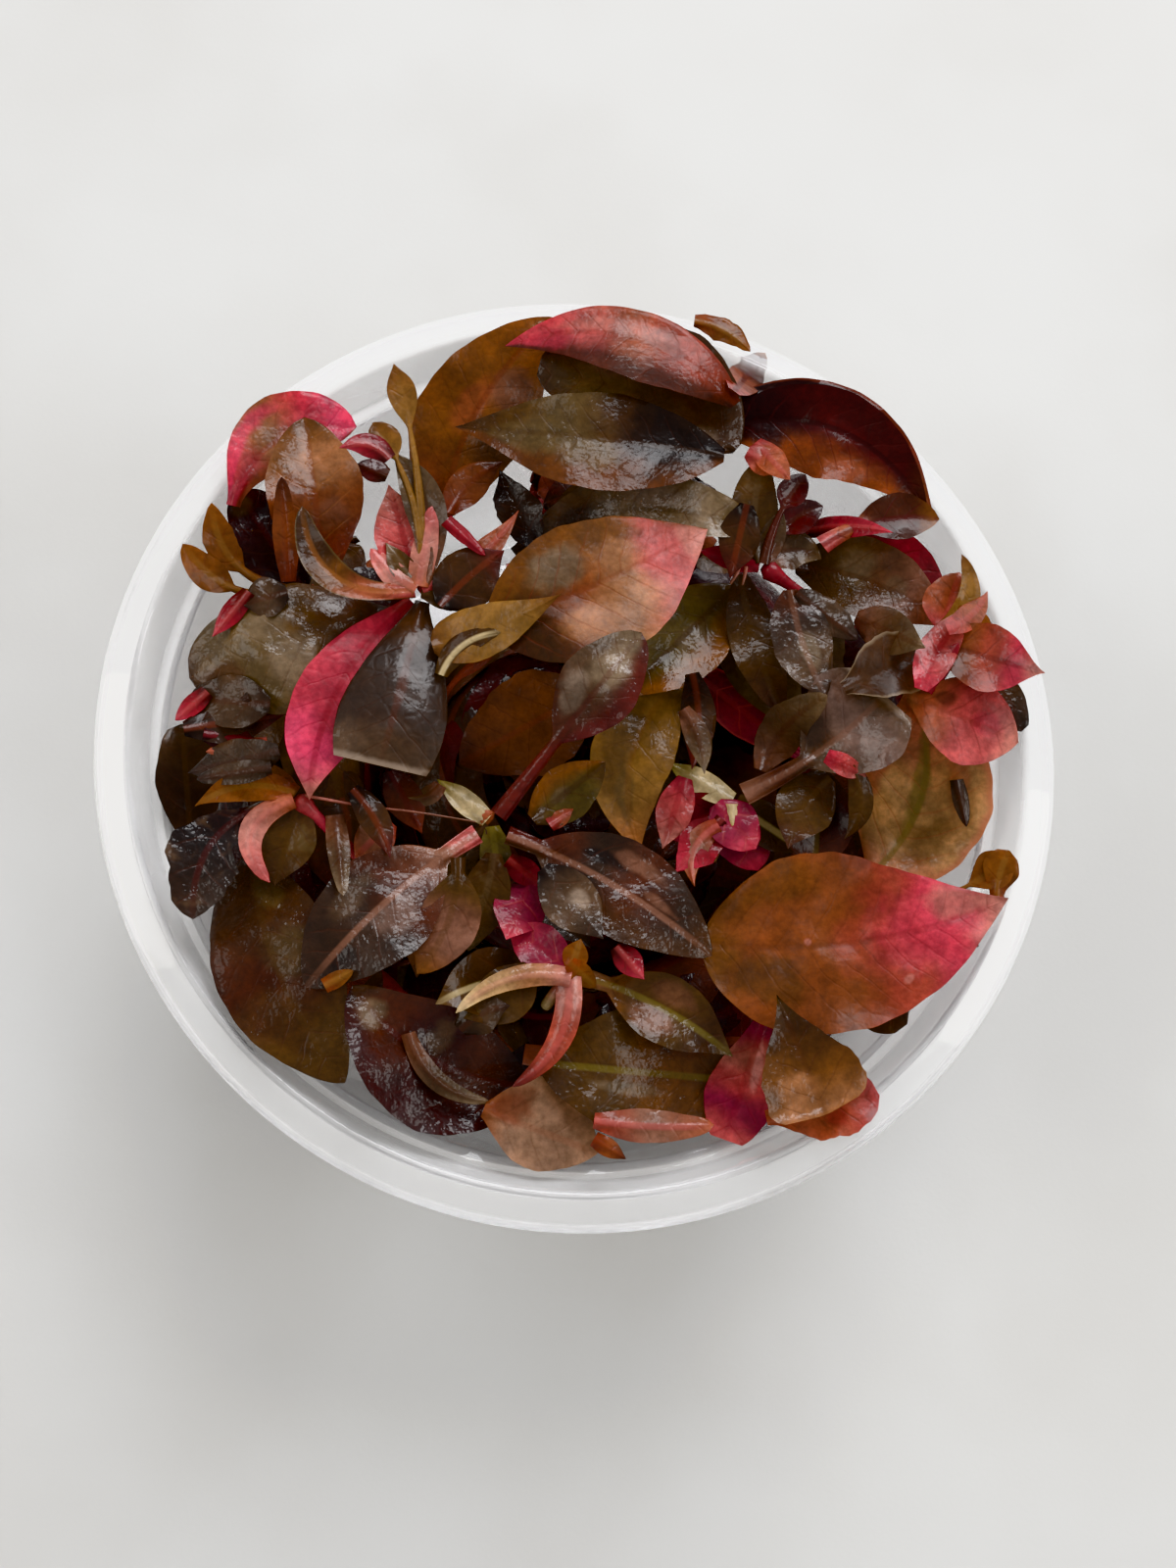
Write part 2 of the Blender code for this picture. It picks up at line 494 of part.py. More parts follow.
def make_cutting(cutting):
    """The outer shape of a cutting: an oval tube bent along the tub and drawn in at both ends."""
    bm = upright_tube(CUTTING_SIDES, CUTTING_STEPS)
    for vertex in bm.verts:
        share = vertex.co.z + 0.5
        fullness = max(0.0, math.sin(math.pi * share)) ** CUTTING_FULLNESS
        taper = CUTTING_TIP + (1.0 - CUTTING_TIP) * fullness
        angle = math.radians(cutting.start + (cutting.end - cutting.start) * share)
        reach = cutting.radius + vertex.co.x * cutting.half_width * taper
        height = cutting.height + vertex.co.y * cutting.half_height * taper
        vertex.co = Vector((reach * math.cos(angle), reach * math.sin(angle), height))
    return add_object(cutting.name, bm, material(cutting.name, MAROON))


def tub_outline():
    """The tub's section, from the axis underneath, out over the lip and back to the axis inside."""
    foot_inside = FOOT_RADIUS - FOOT_WIDTH
    wall_foot = FOOT_RADIUS + FOOT_CURVE
    lip_height = RIM_HEIGHT - LIP_DROP
    soft = ROUNDING / 2.0
    return (
        (0.0, FOOT_HEIGHT),
        (foot_inside - FOOT_HEIGHT, FOOT_HEIGHT),
        (foot_inside, 0.0),
        (FOOT_RADIUS, 0.0),
        (wall_foot, FOOT_CURVE),
        (WALL_TOP_RADIUS + WALL, STEP_HEIGHT - WALL),
        (LEDGE_RADIUS + WALL, STEP_HEIGHT - WALL + LEDGE_RISE),
        (RIM_RADIUS + soft, RIM_HEIGHT - WALL - soft),
        (LIP_RADIUS - WALL, lip_height - WALL),
        (LIP_RADIUS - WALL, lip_height - SKIRT),
        (LIP_RADIUS, lip_height - SKIRT),
        (LIP_RADIUS, lip_height - ROUNDING),
        (LIP_RADIUS - ROUNDING, lip_height),
        (RIM_RADIUS + ROUNDING, RIM_HEIGHT - soft),
        (RIM_RADIUS, RIM_HEIGHT),
        (RIM_RADIUS - ROUNDING, RIM_HEIGHT - soft),
        (LEDGE_RADIUS, STEP_HEIGHT + LEDGE_RISE),
        (WALL_TOP_RADIUS, STEP_HEIGHT),
        (wall_foot - WALL, FOOT_CURVE + WALL),
        (FOOT_RADIUS - ROUNDING, FOOT_HEIGHT + WALL),
        (0.0, FOOT_HEIGHT + WALL),
    )


def make_tub():
    """The clear tub: its section turned once about the upright axis."""
    bm = bmesh.new()
    points = [bm.verts.new((radius, 0.0, height)) for radius, height in tub_outline()]
    edges = [bm.edges.new(pair) for pair in zip(points, points[1:])]
    bmesh.ops.spin(
        bm, geom=points + edges, cent=(0.0, 0.0, 0.0), axis=(0.0, 0.0, 1.0),
        angle=math.tau, steps=TUB_SIDES, use_merge=True,
    )
    bmesh.ops.remove_doubles(bm, verts=bm.verts, dist=MERGE)
    tub = add_object("tub", bm, material("tub", CLEAR, roughness=0.05, alpha=0.35))
    tub.data.shade_smooth()
    tub.data.set_sharp_from_angle(angle=math.radians(SHARP_EDGE))
    return tub


def main():
    """Builds the tub, the cuttings in the bottom of it and the heap on them."""
    for old in list(bpy.data.objects):
        bpy.data.objects.remove(old, do_unlink=True)
    heap = Heap()
    heap.add_mesh(make_tub().data)
    for cutting in CUTTINGS:
        heap.add_mesh(make_cutting(cutting).data)
    for piece in HEAP_ORDER:
        if isinstance(piece, Leaf):
            make_leaf(piece, heap.lay_leaf(piece))
        else:
            make_shoot(piece, heap.lay_shoot(piece))


main()
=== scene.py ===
"""Picked cuttings of Alternanthera reineckii, wet and heaped in a clear round tub.

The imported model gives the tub, the lie of every leaf and stem tip, and the room that the whole cuttings in
the bottom take up. This script gives each of them its finished shape and surface around that model.

Leaf plans are written as they are seen from EYE against the level SIGHT_LEVEL, in millimetres. A leaf's
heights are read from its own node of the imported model, so the finished leaf lies where the node lies.
"""

import logging
import math
from dataclasses import dataclass
from enum import Enum

import bmesh
import bpy
import numpy as np
from mathutils import Matrix, Vector, noise
from mathutils.bvhtree import BVHTree


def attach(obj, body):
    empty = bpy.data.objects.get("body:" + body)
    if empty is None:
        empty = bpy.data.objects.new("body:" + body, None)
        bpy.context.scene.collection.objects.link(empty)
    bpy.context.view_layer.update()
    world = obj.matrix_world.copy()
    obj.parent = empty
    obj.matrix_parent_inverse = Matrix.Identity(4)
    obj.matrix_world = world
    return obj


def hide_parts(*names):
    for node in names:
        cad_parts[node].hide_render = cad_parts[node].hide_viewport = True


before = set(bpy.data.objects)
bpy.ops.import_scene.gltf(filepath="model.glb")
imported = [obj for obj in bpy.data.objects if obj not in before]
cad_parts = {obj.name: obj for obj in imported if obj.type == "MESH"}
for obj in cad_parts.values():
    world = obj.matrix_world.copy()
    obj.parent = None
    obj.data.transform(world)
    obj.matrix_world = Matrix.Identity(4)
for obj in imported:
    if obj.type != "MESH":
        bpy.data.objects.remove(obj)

log = logging.getLogger("cuttings")

MM = 0.001
ROOT = "root"

# Where the plans are seen from, and the level that they are seen against.
EYE = Vector((-17.7, -59.1, 248.5))
SIGHT_LEVEL = 48.0

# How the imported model's leaves are made.
CAD_ROWS = 6
CAD_ARM_ROWS = 5
CAD_HALF_THICKNESS = 0.4
CAD_SETTLED = 4.0
CAD_STEM_WIDTH = 1.7

# The finished leaves.
POINT_SPACING = 0.55
SKIN = 0.13
MARGIN_SKIN = 0.06
LAID_GAP = 0.35
BESIDE_HEAP = 46.5
LOWEST_LAID = 43.0
FALLEN = 14
FLOOR_LEVEL = 2.3
VEIN_GAP = 3.2
VEIN_SLANT = 0.75


class Colour(Enum):
    """Colours of the plant, as sRGB hex values. The greys (GREY_OLIVE, GREY_BROWN, ASH, TAUPE, LILAC, SALMON_GREY) are
    mostly painted sheen: the grey that the wet film reflects off dark leaves, put into the colour.
    """

    BLACK_BROWN = "#150806"
    DARK_MAROON = "#2c0505"
    MAROON = "#520c08"
    CRIMSON = "#97202a"
    MAGENTA = "#9c3148"
    HOT_PINK = "#e85a78"
    ROSE = "#cb6562"
    PALE_PINK = "#e9aca2"
    SALMON = "#ba6a4c"
    TAN = "#b3713f"
    RUST = "#7d2c08"
    ORANGE = "#a24d12"
    AMBER = "#90520f"
    OCHRE = "#a37740"
    BROWN = "#4a1e08"
    OLIVE_BROWN = "#432405"
    OLIVE = "#573810"
    OLIVE_GREEN = "#5f4b1b"
    YELLOW_GREEN = "#a08a32"
    CREAM = "#cfb88c"
    GREY_OLIVE = "#6e583a"
    GREY_BROWN = "#5a4433"
    SLATE = "#33231a"
    LILAC = "#7c6257"
    ASH = "#94806f"
    TAUPE = "#857059"
    SALMON_GREY = "#8f6350"
    SALMON_TAN = "#b07a54"
    PALE_TAN = "#cda474"
    DUSTY_PINK = "#d08a7c"
    RASPBERRY = "#cb4a58"
    BRICK = "#ad4f3e"
    BRICK_BROWN = "#8a4822"
    CRIMSON_BROWN = "#5e1a10"
    OLIVE_AMBER = "#754516"
    AMBER_BROWN = "#6c3608"
    YELLOW_OLIVE = "#85732c"
    BLACK_RED = "#1a0303"
    DULL_TAN = "#b08a70"
    WARM_SALMON = "#cf9070"


class Wet(Enum):
    """How wet a leaf is: roughness of the skin, strength of the water film and the film's roughness."""

    DAMP = (0.52, 0.35, 0.22)
    WET = (0.42, 0.8, 0.12)
    SOAKED = (0.36, 1.0, 0.06)


def linear(hex_colour: str) -> tuple[float, float, float, float]:
    """Turns an sRGB hex colour into the linear colour that shaders read.

    Args:
        hex_colour: the colour, as in "#a0b1c2".

    Returns:
        Red, green, blue and an alpha of one.
    """
    parts = [int(hex_colour[place:place + 2], 16) / 255.0 for place in (1, 3, 5)]
    return (*(part / 12.92 if part <= 0.04045 else ((part + 0.055) / 1.055) ** 2.4 for part in parts), 1.0)


def add_node(tree: bpy.types.NodeTree, kind: str, inputs: dict | None = None, **settings) -> bpy.types.Node:
    """Adds a shader node, sets it up and links it.

    Args:
        tree: the material's nodes.
        kind: the node's type name.
        inputs: what goes into its sockets, by name or index: a socket is linked and a value is set.
        **settings: the node's own properties.

    Returns:
        The new node.
    """
    node = tree.nodes.new(kind)
    for name, value in settings.items():
        setattr(node, name, value)
    for socket, value in (inputs or {}).items():
        if isinstance(value, bpy.types.NodeSocket):
            tree.links.new(value, node.inputs[socket])
        else:
            node.inputs[socket].default_value = value
    return node


class Graph:
    """Shorthand for the few sums that every material here needs."""

    def __init__(self, name: str):
        """Starts an empty material.

        Args:
            name: the material's name.
        """
        self.material = bpy.data.materials.new(name)
        self.material.use_nodes = True
        self.tree = self.material.node_tree
        self.tree.nodes.clear()

    def math(self, operation: str, *values) -> bpy.types.NodeSocket:
        """The result of one Math node on the given values or sockets."""
        inputs = dict(enumerate(values))
        return add_node(self.tree, "ShaderNodeMath", inputs, operation=operation).outputs[0]

    def between(self, value, low: float, high: float, at_low: float = 0.0, at_high: float = 1.0):
        """A value stretched from one range to another, with soft ends."""
        inputs = {"Value": value, "From Min": low, "From Max": high, "To Min": at_low, "To Max": at_high}
        made = add_node(self.tree, "ShaderNodeMapRange", inputs, interpolation_type="SMOOTHSTEP", clamp=True)
        return made.outputs["Result"]

    def noise(self, where, size_mm: float, detail: float = 2.0, roughness: float = 0.5):
        """Cloudy noise whose lumps are about size_mm across, from 0 to 1."""
        inputs = {"Vector": where, "Scale": 1.0 / (size_mm * MM), "Detail": detail, "Roughness": roughness}
        return add_node(self.tree, "ShaderNodeTexNoise", inputs).outputs["Fac"]

    def blend(self, share, first, second, blend_type: str = "MIX") -> bpy.types.NodeSocket:
        """The first colour with the second laid on it by share."""
        inputs = {0: share, 6: first, 7: second}
        made = add_node(self.tree, "ShaderNodeMix", inputs, data_type="RGBA", blend_type=blend_type)
        return made.outputs[2]

    def object_place(self) -> bpy.types.NodeSocket:
        """The point's place on the object, in metres."""
        return add_node(self.tree, "ShaderNodeTexCoord").outputs["Object"]

    def finish(self, shader: bpy.types.NodeSocket) -> bpy.types.Material:
        """Sends the shader to the surface and hands the material over."""
        add_node(self.tree, "ShaderNodeOutputMaterial", {"Surface": shader})
        return self.material


@dataclass(frozen=True)
class Spot:
    """A patch of another colour at one place on a leaf. Some are the tissue's own marks; many are painted highlights,
    painted sheen or painted shade.

    Attributes:
        along: where it lies from base to tip, from 0 to 1.
        across: where it lies from midrib to margin, 1 at the left margin and -1 at the right.
        long: its reach along the leaf, on the same scale.
        broad: its reach across the leaf, on the same scale.
        colour: its colour.
        strength: how fully it covers.
    """

    along: float
    across: float
    long: float
    broad: float
    colour: Colour
    strength: float = 0.8

    def share(self, g: Graph, along, side, fray) -> bpy.types.NodeSocket:
        """How fully the patch covers each point.

        Args:
            g: the material being made.
            along: share of the way from base to tip.
            side: share of the way from midrib to margin, signed.
            fray: noise that frays its edge.

        Returns:
            The share, from 0 to the spot's strength.
        """
        off_along = g.math("DIVIDE", g.math("SUBTRACT", along, self.along), self.long)
        off_across = g.math("DIVIDE", g.math("SUBTRACT", side, self.across), self.broad)
        far = g.math("SQRT", g.math("ADD", g.math("POWER", off_along, 2.0), g.math("POWER", off_across, 2.0)))
        return g.between(g.math("ADD", far, fray), 0.5, 1.1, self.strength, 0.0)


@dataclass(frozen=True)
class LeafFinish:
    """Living leaf tissue under a film of water: mottled, veined, and lit through where it is thin.

    Attributes:
        name: which leaf or kind of leaf it is for.
        run: the colours from the leaf's base to its tip, evenly spaced.
        midrib: the colour of the midrib.
        rib_strength: how plainly the midrib shows.
        margin: the colour of the outermost millimetre, or none.
        veins: how plainly the side veins show.
        vein_colour: the colour of the side veins.
        patch: the colour of the blotches, or none.
        patches: how much of the leaf is blotched.
        wet: how wet it is.
        wrinkles: how rough the water film lies.
        glow: the share of light that passes through.
        torn_end: whether the far end is a pale cut edge.
        half: the colour of one of its halves, or none; on some leaves it is a painted lit side or a painted shaded
            side.
        half_side: which half that is, 1 for the left and -1 for the right.
        spots: patches at known places; many are painted highlights, painted sheen or painted shade.
    """

    name: str
    run: tuple[Colour, ...]
    midrib: Colour = Colour.OLIVE
    rib_strength: float = 0.5
    margin: Colour | None = None
    veins: float = 0.25
    vein_colour: Colour = Colour.BROWN
    patch: Colour | None = None
    patches: float = 0.35
    wet: Wet = Wet.WET
    wrinkles: float = 0.5
    glow: float = 0.3
    torn_end: bool = False
    half: Colour | None = None
    half_side: float = 1.0
    spots: tuple[Spot, ...] = ()

    def colour(self, g: Graph, along, side, grain_along, grain_across, where, cells):
        """Builds the leaf's colour.

        Args:
            g: the material being made.
            along: share of the way from base to tip.
            side: share of the way from midrib to margin, signed.
            grain_along: side vein signal, 1 on a vein.
            grain_across: distance from the midrib in millimetres.
            where: place on the object.
            cells: the fine net of veins, 0 on its lines.

        Returns:
            The colour socket.
        """
        across = g.math("ABSOLUTE", side)
        drift = g.math("MULTIPLY_ADD", g.noise(where, 7.0, 3.0), 0.34, -0.17)
        ramp = add_node(g.tree, "ShaderNodeValToRGB", {"Fac": g.math("ADD", along, drift)})
        ramp.color_ramp.interpolation = "EASE"
        for index, tone in enumerate(self.run):
            place = index / max(1, len(self.run) - 1)
            if index < 2:
                element = ramp.color_ramp.elements[index]
                element.position = place
            else:
                element = ramp.color_ramp.elements.new(place)
            element.color = linear(tone.value)
        colour = ramp.outputs["Color"]
        if len(self.run) == 1:
            ramp.color_ramp.elements[1].color = linear(self.run[0].value)
        fray = g.math("MULTIPLY_ADD", g.noise(where, 2.6, 3.0), 0.9, -0.45)
        # A half of another colour: on some leaves painted light on the lit side, on others painted shade on the shaded
        # side.
        if self.half is not None:
            lean = g.math("ADD", g.math("MULTIPLY", side, self.half_side), g.math("MULTIPLY", fray, 0.5))
            colour = g.blend(g.between(lean, 0.05, 0.75, 0.0, 0.9), colour, linear(self.half.value))
        # Spots: real marks, and on many leaves painted highlights, painted sheen or painted shade.
        for spot in self.spots:
            colour = g.blend(spot.share(g, along, side, fray), colour, linear(spot.colour.value))
        mottle = g.between(g.noise(where, 0.9, 4.0, 0.65), 0.25, 0.75, 0.78, 1.2)
        cloud = g.between(g.noise(where, 4.5, 3.0, 0.6), 0.3, 0.7, 0.66, 1.12)
        colour = g.blend(1.0, g.blend(1.0, colour, mottle, "MULTIPLY"), cloud, "MULTIPLY")
        if self.patch is not None:
            share = g.between(g.noise(where, 4.5, 3.0, 0.6), 0.62 - 0.25 * self.patches, 0.70)
            colour = g.blend(g.math("MULTIPLY", share, 0.8), colour, linear(self.patch.value))
        vein = g.math("MULTIPLY", grain_along, self.veins)
        colour = g.blend(vein, colour, linear(self.vein_colour.value))
        net = g.between(cells, 0.0, 0.09, 0.22 * self.veins, 0.0)
        colour = g.blend(net, colour, linear(self.vein_colour.value))
        rib = g.between(grain_across, 0.22, 0.55, self.rib_strength, 0.0)
        rib = g.math("MULTIPLY", rib, g.between(along, 0.75, 1.0, 1.0, 0.25))
        colour = g.blend(rib, colour, linear(self.midrib.value))
        if self.margin is not None:
            fray = g.math("MULTIPLY_ADD", g.noise(where, 2.0), 0.12, -0.06)
            rim = g.between(g.math("ADD", across, fray), 0.84, 0.99, 0.0, 0.85)
            colour = g.blend(rim, colour, linear(self.margin.value))
        if self.torn_end:
            fray = g.math("MULTIPLY_ADD", g.noise(where, 1.5), 0.03, -0.015)
            rim = g.between(g.math("ADD", along, fray), 0.95, 0.985, 0.0, 0.8)
            colour = g.blend(rim, colour, linear(Colour.ASH.value))
        return colour

    def material(self) -> bpy.types.Material:
        """Builds the material: tissue, with a water film that catches the light, mixed with light let through."""
        g = Graph(f"wet leaf, {self.name}")
        where = g.object_place()
        lay = add_node(g.tree, "ShaderNodeAttribute", attribute_name="lay").outputs["Vector"]
        lay = add_node(g.tree, "ShaderNodeSeparateXYZ", {0: lay})
        grain = add_node(g.tree, "ShaderNodeAttribute", attribute_name="grain").outputs["Vector"]
        grain = add_node(g.tree, "ShaderNodeSeparateXYZ", {0: grain})
        along, side = lay.outputs[0], lay.outputs[1]
        across = g.math("ABSOLUTE", side)
        off_rib = g.math("ABSOLUTE", grain.outputs[1])
        slanted = g.math("SUBTRACT", grain.outputs[0], g.math("MULTIPLY", off_rib, VEIN_SLANT))
        wander = g.math("MULTIPLY", g.noise(where, 5.0), 2.2)
        turn = g.math("PINGPONG", g.math("DIVIDE", g.math("ADD", slanted, wander), VEIN_GAP), 0.5)
        vein = g.between(turn, 0.0, 0.085, 1.0, 0.0)
        vein = g.math("MULTIPLY", vein, g.between(across, 0.55, 1.0, 1.0, 0.1))
        cells = add_node(
            g.tree, "ShaderNodeTexVoronoi",
            {"Vector": where, "Scale": 1.0 / (1.5 * MM)}, feature="DISTANCE_TO_EDGE",
        ).outputs["Distance"]
        colour = self.colour(g, along, side, vein, off_rib, where, cells)
        skin_roughness, film, film_roughness = self.wet.value
        sunk = g.math("MULTIPLY", vein, -0.25)
        quilt = g.between(cells, 0.0, 0.22, -0.12, 0.06)
        fold = g.math("MULTIPLY", g.noise(where, 1.7, 3.0), self.wrinkles)
        relief = g.math("ADD", g.math("ADD", sunk, quilt), fold)
        skin_bump = add_node(
            g.tree, "ShaderNodeBump", {"Strength": 0.55, "Distance": 0.25 * MM, "Height": relief},
        ).outputs["Normal"]
        ripple = g.math("MULTIPLY", g.noise(where, 2.8, 3.0, 0.6), self.wrinkles)
        film_bump = add_node(
            g.tree, "ShaderNodeBump", {"Strength": 0.7, "Distance": 0.8 * MM, "Height": ripple},
        ).outputs["Normal"]
        dryness = g.between(g.noise(where, 3.4, 2.0), 0.35, 0.7, skin_roughness - 0.08, skin_roughness + 0.14)
        skin = add_node(g.tree, "ShaderNodeBsdfPrincipled", {
            "Base Color": colour, "Roughness": dryness, "IOR": 1.42, "Normal": skin_bump,
            "Coat Weight": film, "Coat Roughness": film_roughness, "Coat IOR": 1.33, "Coat Normal": film_bump,
        })
        through = add_node(g.tree, "ShaderNodeBsdfTranslucent", {
            "Color": g.blend(0.35, colour, g.blend(1.0, colour, (1.9, 1.9, 1.9, 1.0), "MULTIPLY")), "Normal": skin_bump,
        })
        mixed = add_node(g.tree, "ShaderNodeMixShader", {0: self.glow, 1: skin.outputs[0], 2: through.outputs[0]})
        return g.finish(mixed.outputs[0])


@dataclass(frozen=True)
class ClearPlastic:
    """Polypropylene or PET moulded clear: a smooth surface that shows the table through it, with bright edges."""

    name: str = "clear moulded plastic"
    tint: str = "#fbfbfb"
    roughness: float = 0.05
    ior: float = 1.42
    clearness: float = 0.74

    def material(self) -> bpy.types.Material:
        """Builds the material. Lamps reach what is behind it, as they do through a real thin clear wall."""
        g = Graph(self.name)
        where = g.object_place()
        flow = g.noise(where, 16.0, 1.0)
        bump = add_node(g.tree, "ShaderNodeBump", {"Strength": 0.06, "Distance": 0.2 * MM, "Height": flow})
        clear = add_node(g.tree, "ShaderNodeBsdfPrincipled", {
            "Base Color": linear(self.tint), "Roughness": self.roughness, "IOR": self.ior,
            "Transmission Weight": self.clearness, "Normal": bump.outputs["Normal"],
        })
        light_path = add_node(g.tree, "ShaderNodeLightPath")
        open_way = add_node(g.tree, "ShaderNodeBsdfTransparent", {"Color": (0.96, 0.96, 0.97, 1.0)})
        mixed = add_node(g.tree, "ShaderNodeMixShader", {
            0: light_path.outputs["Is Shadow Ray"], 1: clear.outputs[0], 2: open_way.outputs[0],
        })
        return g.finish(mixed.outputs[0])


@dataclass(frozen=True)
class TableTop:
    """A painted or laminated table top: pale, matt and a little uneven in tone."""

    name: str = "pale laminate"
    light: str = "#d0d0ce"
    dark: str = "#c9c8c5"

    def material(self) -> bpy.types.Material:
        """Builds the material."""
        g = Graph(self.name)
        where = g.object_place()
        cloud = g.between(g.noise(where, 60.0, 3.0), 0.3, 0.7)
        colour = g.blend(cloud, linear(self.light), linear(self.dark))
        tooth = add_node(g.tree, "ShaderNodeBump", {
            "Strength": 0.15, "Distance": 0.1 * MM, "Height": g.noise(where, 0.8, 3.0),
        })
        top = add_node(g.tree, "ShaderNodeBsdfPrincipled", {
            "Base Color": colour, "Roughness": 0.62, "Normal": tooth.outputs["Normal"],
        })
        return g.finish(top.outputs[0])


def to_place(points: np.ndarray) -> np.ndarray:
    """Brings points of the plans, with their heights, to their true places.

    Args:
        points: rows of x, y and height in millimetres, in any shape that ends in three.

    Returns:
        The true places, in millimetres and in the same shape.
    """
    eye = np.array(EYE)
    share = ((points[..., 2] - SIGHT_LEVEL) / (EYE.z - SIGHT_LEVEL))[..., None]
    placed = points.copy()
    placed[..., :2] += (eye[:2] - points[..., :2]) * share
    return placed


class Lines:
    """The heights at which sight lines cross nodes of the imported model."""

    def __init__(self, *nodes: str):
        """Reads the nodes' meshes.

        Args:
            *nodes: the nodes' names.
        """
        places, faces = [], []
        for node in nodes:
            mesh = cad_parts[node].data
            first = len(places)
            places.extend(vertex.co[:] for vertex in mesh.vertices)
            faces.extend(tuple(first + corner for corner in polygon.vertices) for polygon in mesh.polygons)
        self.tree = BVHTree.FromPolygons(places, faces)

    def crossings(self, x: float, y: float) -> list[float]:
        """Heights in millimetres, from the top down, at which the sight line through x, y meets the node."""
        start = EYE * MM
        way = (Vector((x, y, SIGHT_LEVEL)) * MM - start).normalized()
        heights = []
        hit = self.tree.ray_cast(start, way)[0]
        while hit is not None and len(heights) < 12:
            heights.append(hit.z / MM)
            hit = self.tree.ray_cast(hit + way * 0.02 * MM, way)[0]
        return heights

    def top(self, x: float, y: float) -> float | None:
        """Height of the first crossing, or None where the line misses."""
        start = EYE * MM
        way = (Vector((x, y, SIGHT_LEVEL)) * MM - start).normalized()
        hit = self.tree.ray_cast(start, way)[0]
        return None if hit is None else hit.z / MM

    def middle(self, x: float, y: float) -> float | None:
        """Height halfway between the first and the last crossing, or None where the line misses."""
        found = self.crossings(x, y)
        return (found[0] + found[-1]) / 2.0 if len(found) > 1 else None


def catmull_rom(rows: np.ndarray, where: np.ndarray) -> np.ndarray:
    """A smooth run through evenly spaced rows.

    Args:
        rows: one row of values for each whole position.
        where: positions from 0 to len(rows) - 1.

    Returns:
        One row for each position asked for.
    """
    padded = np.vstack([2.0 * rows[:1] - rows[1:2], rows, 2.0 * rows[-1:] - rows[-2:-1]])
    low = np.clip(np.floor(where).astype(int), 0, len(rows) - 2)
    t = (where - low)[:, None]
    a, b, c, d = (padded[low + shift] for shift in range(4))
    return 0.5 * (2 * b + (c - a) * t + (2 * a - 5 * b + 4 * c - d) * t ** 2 + (3 * b - a - 3 * c + d) * t ** 3)


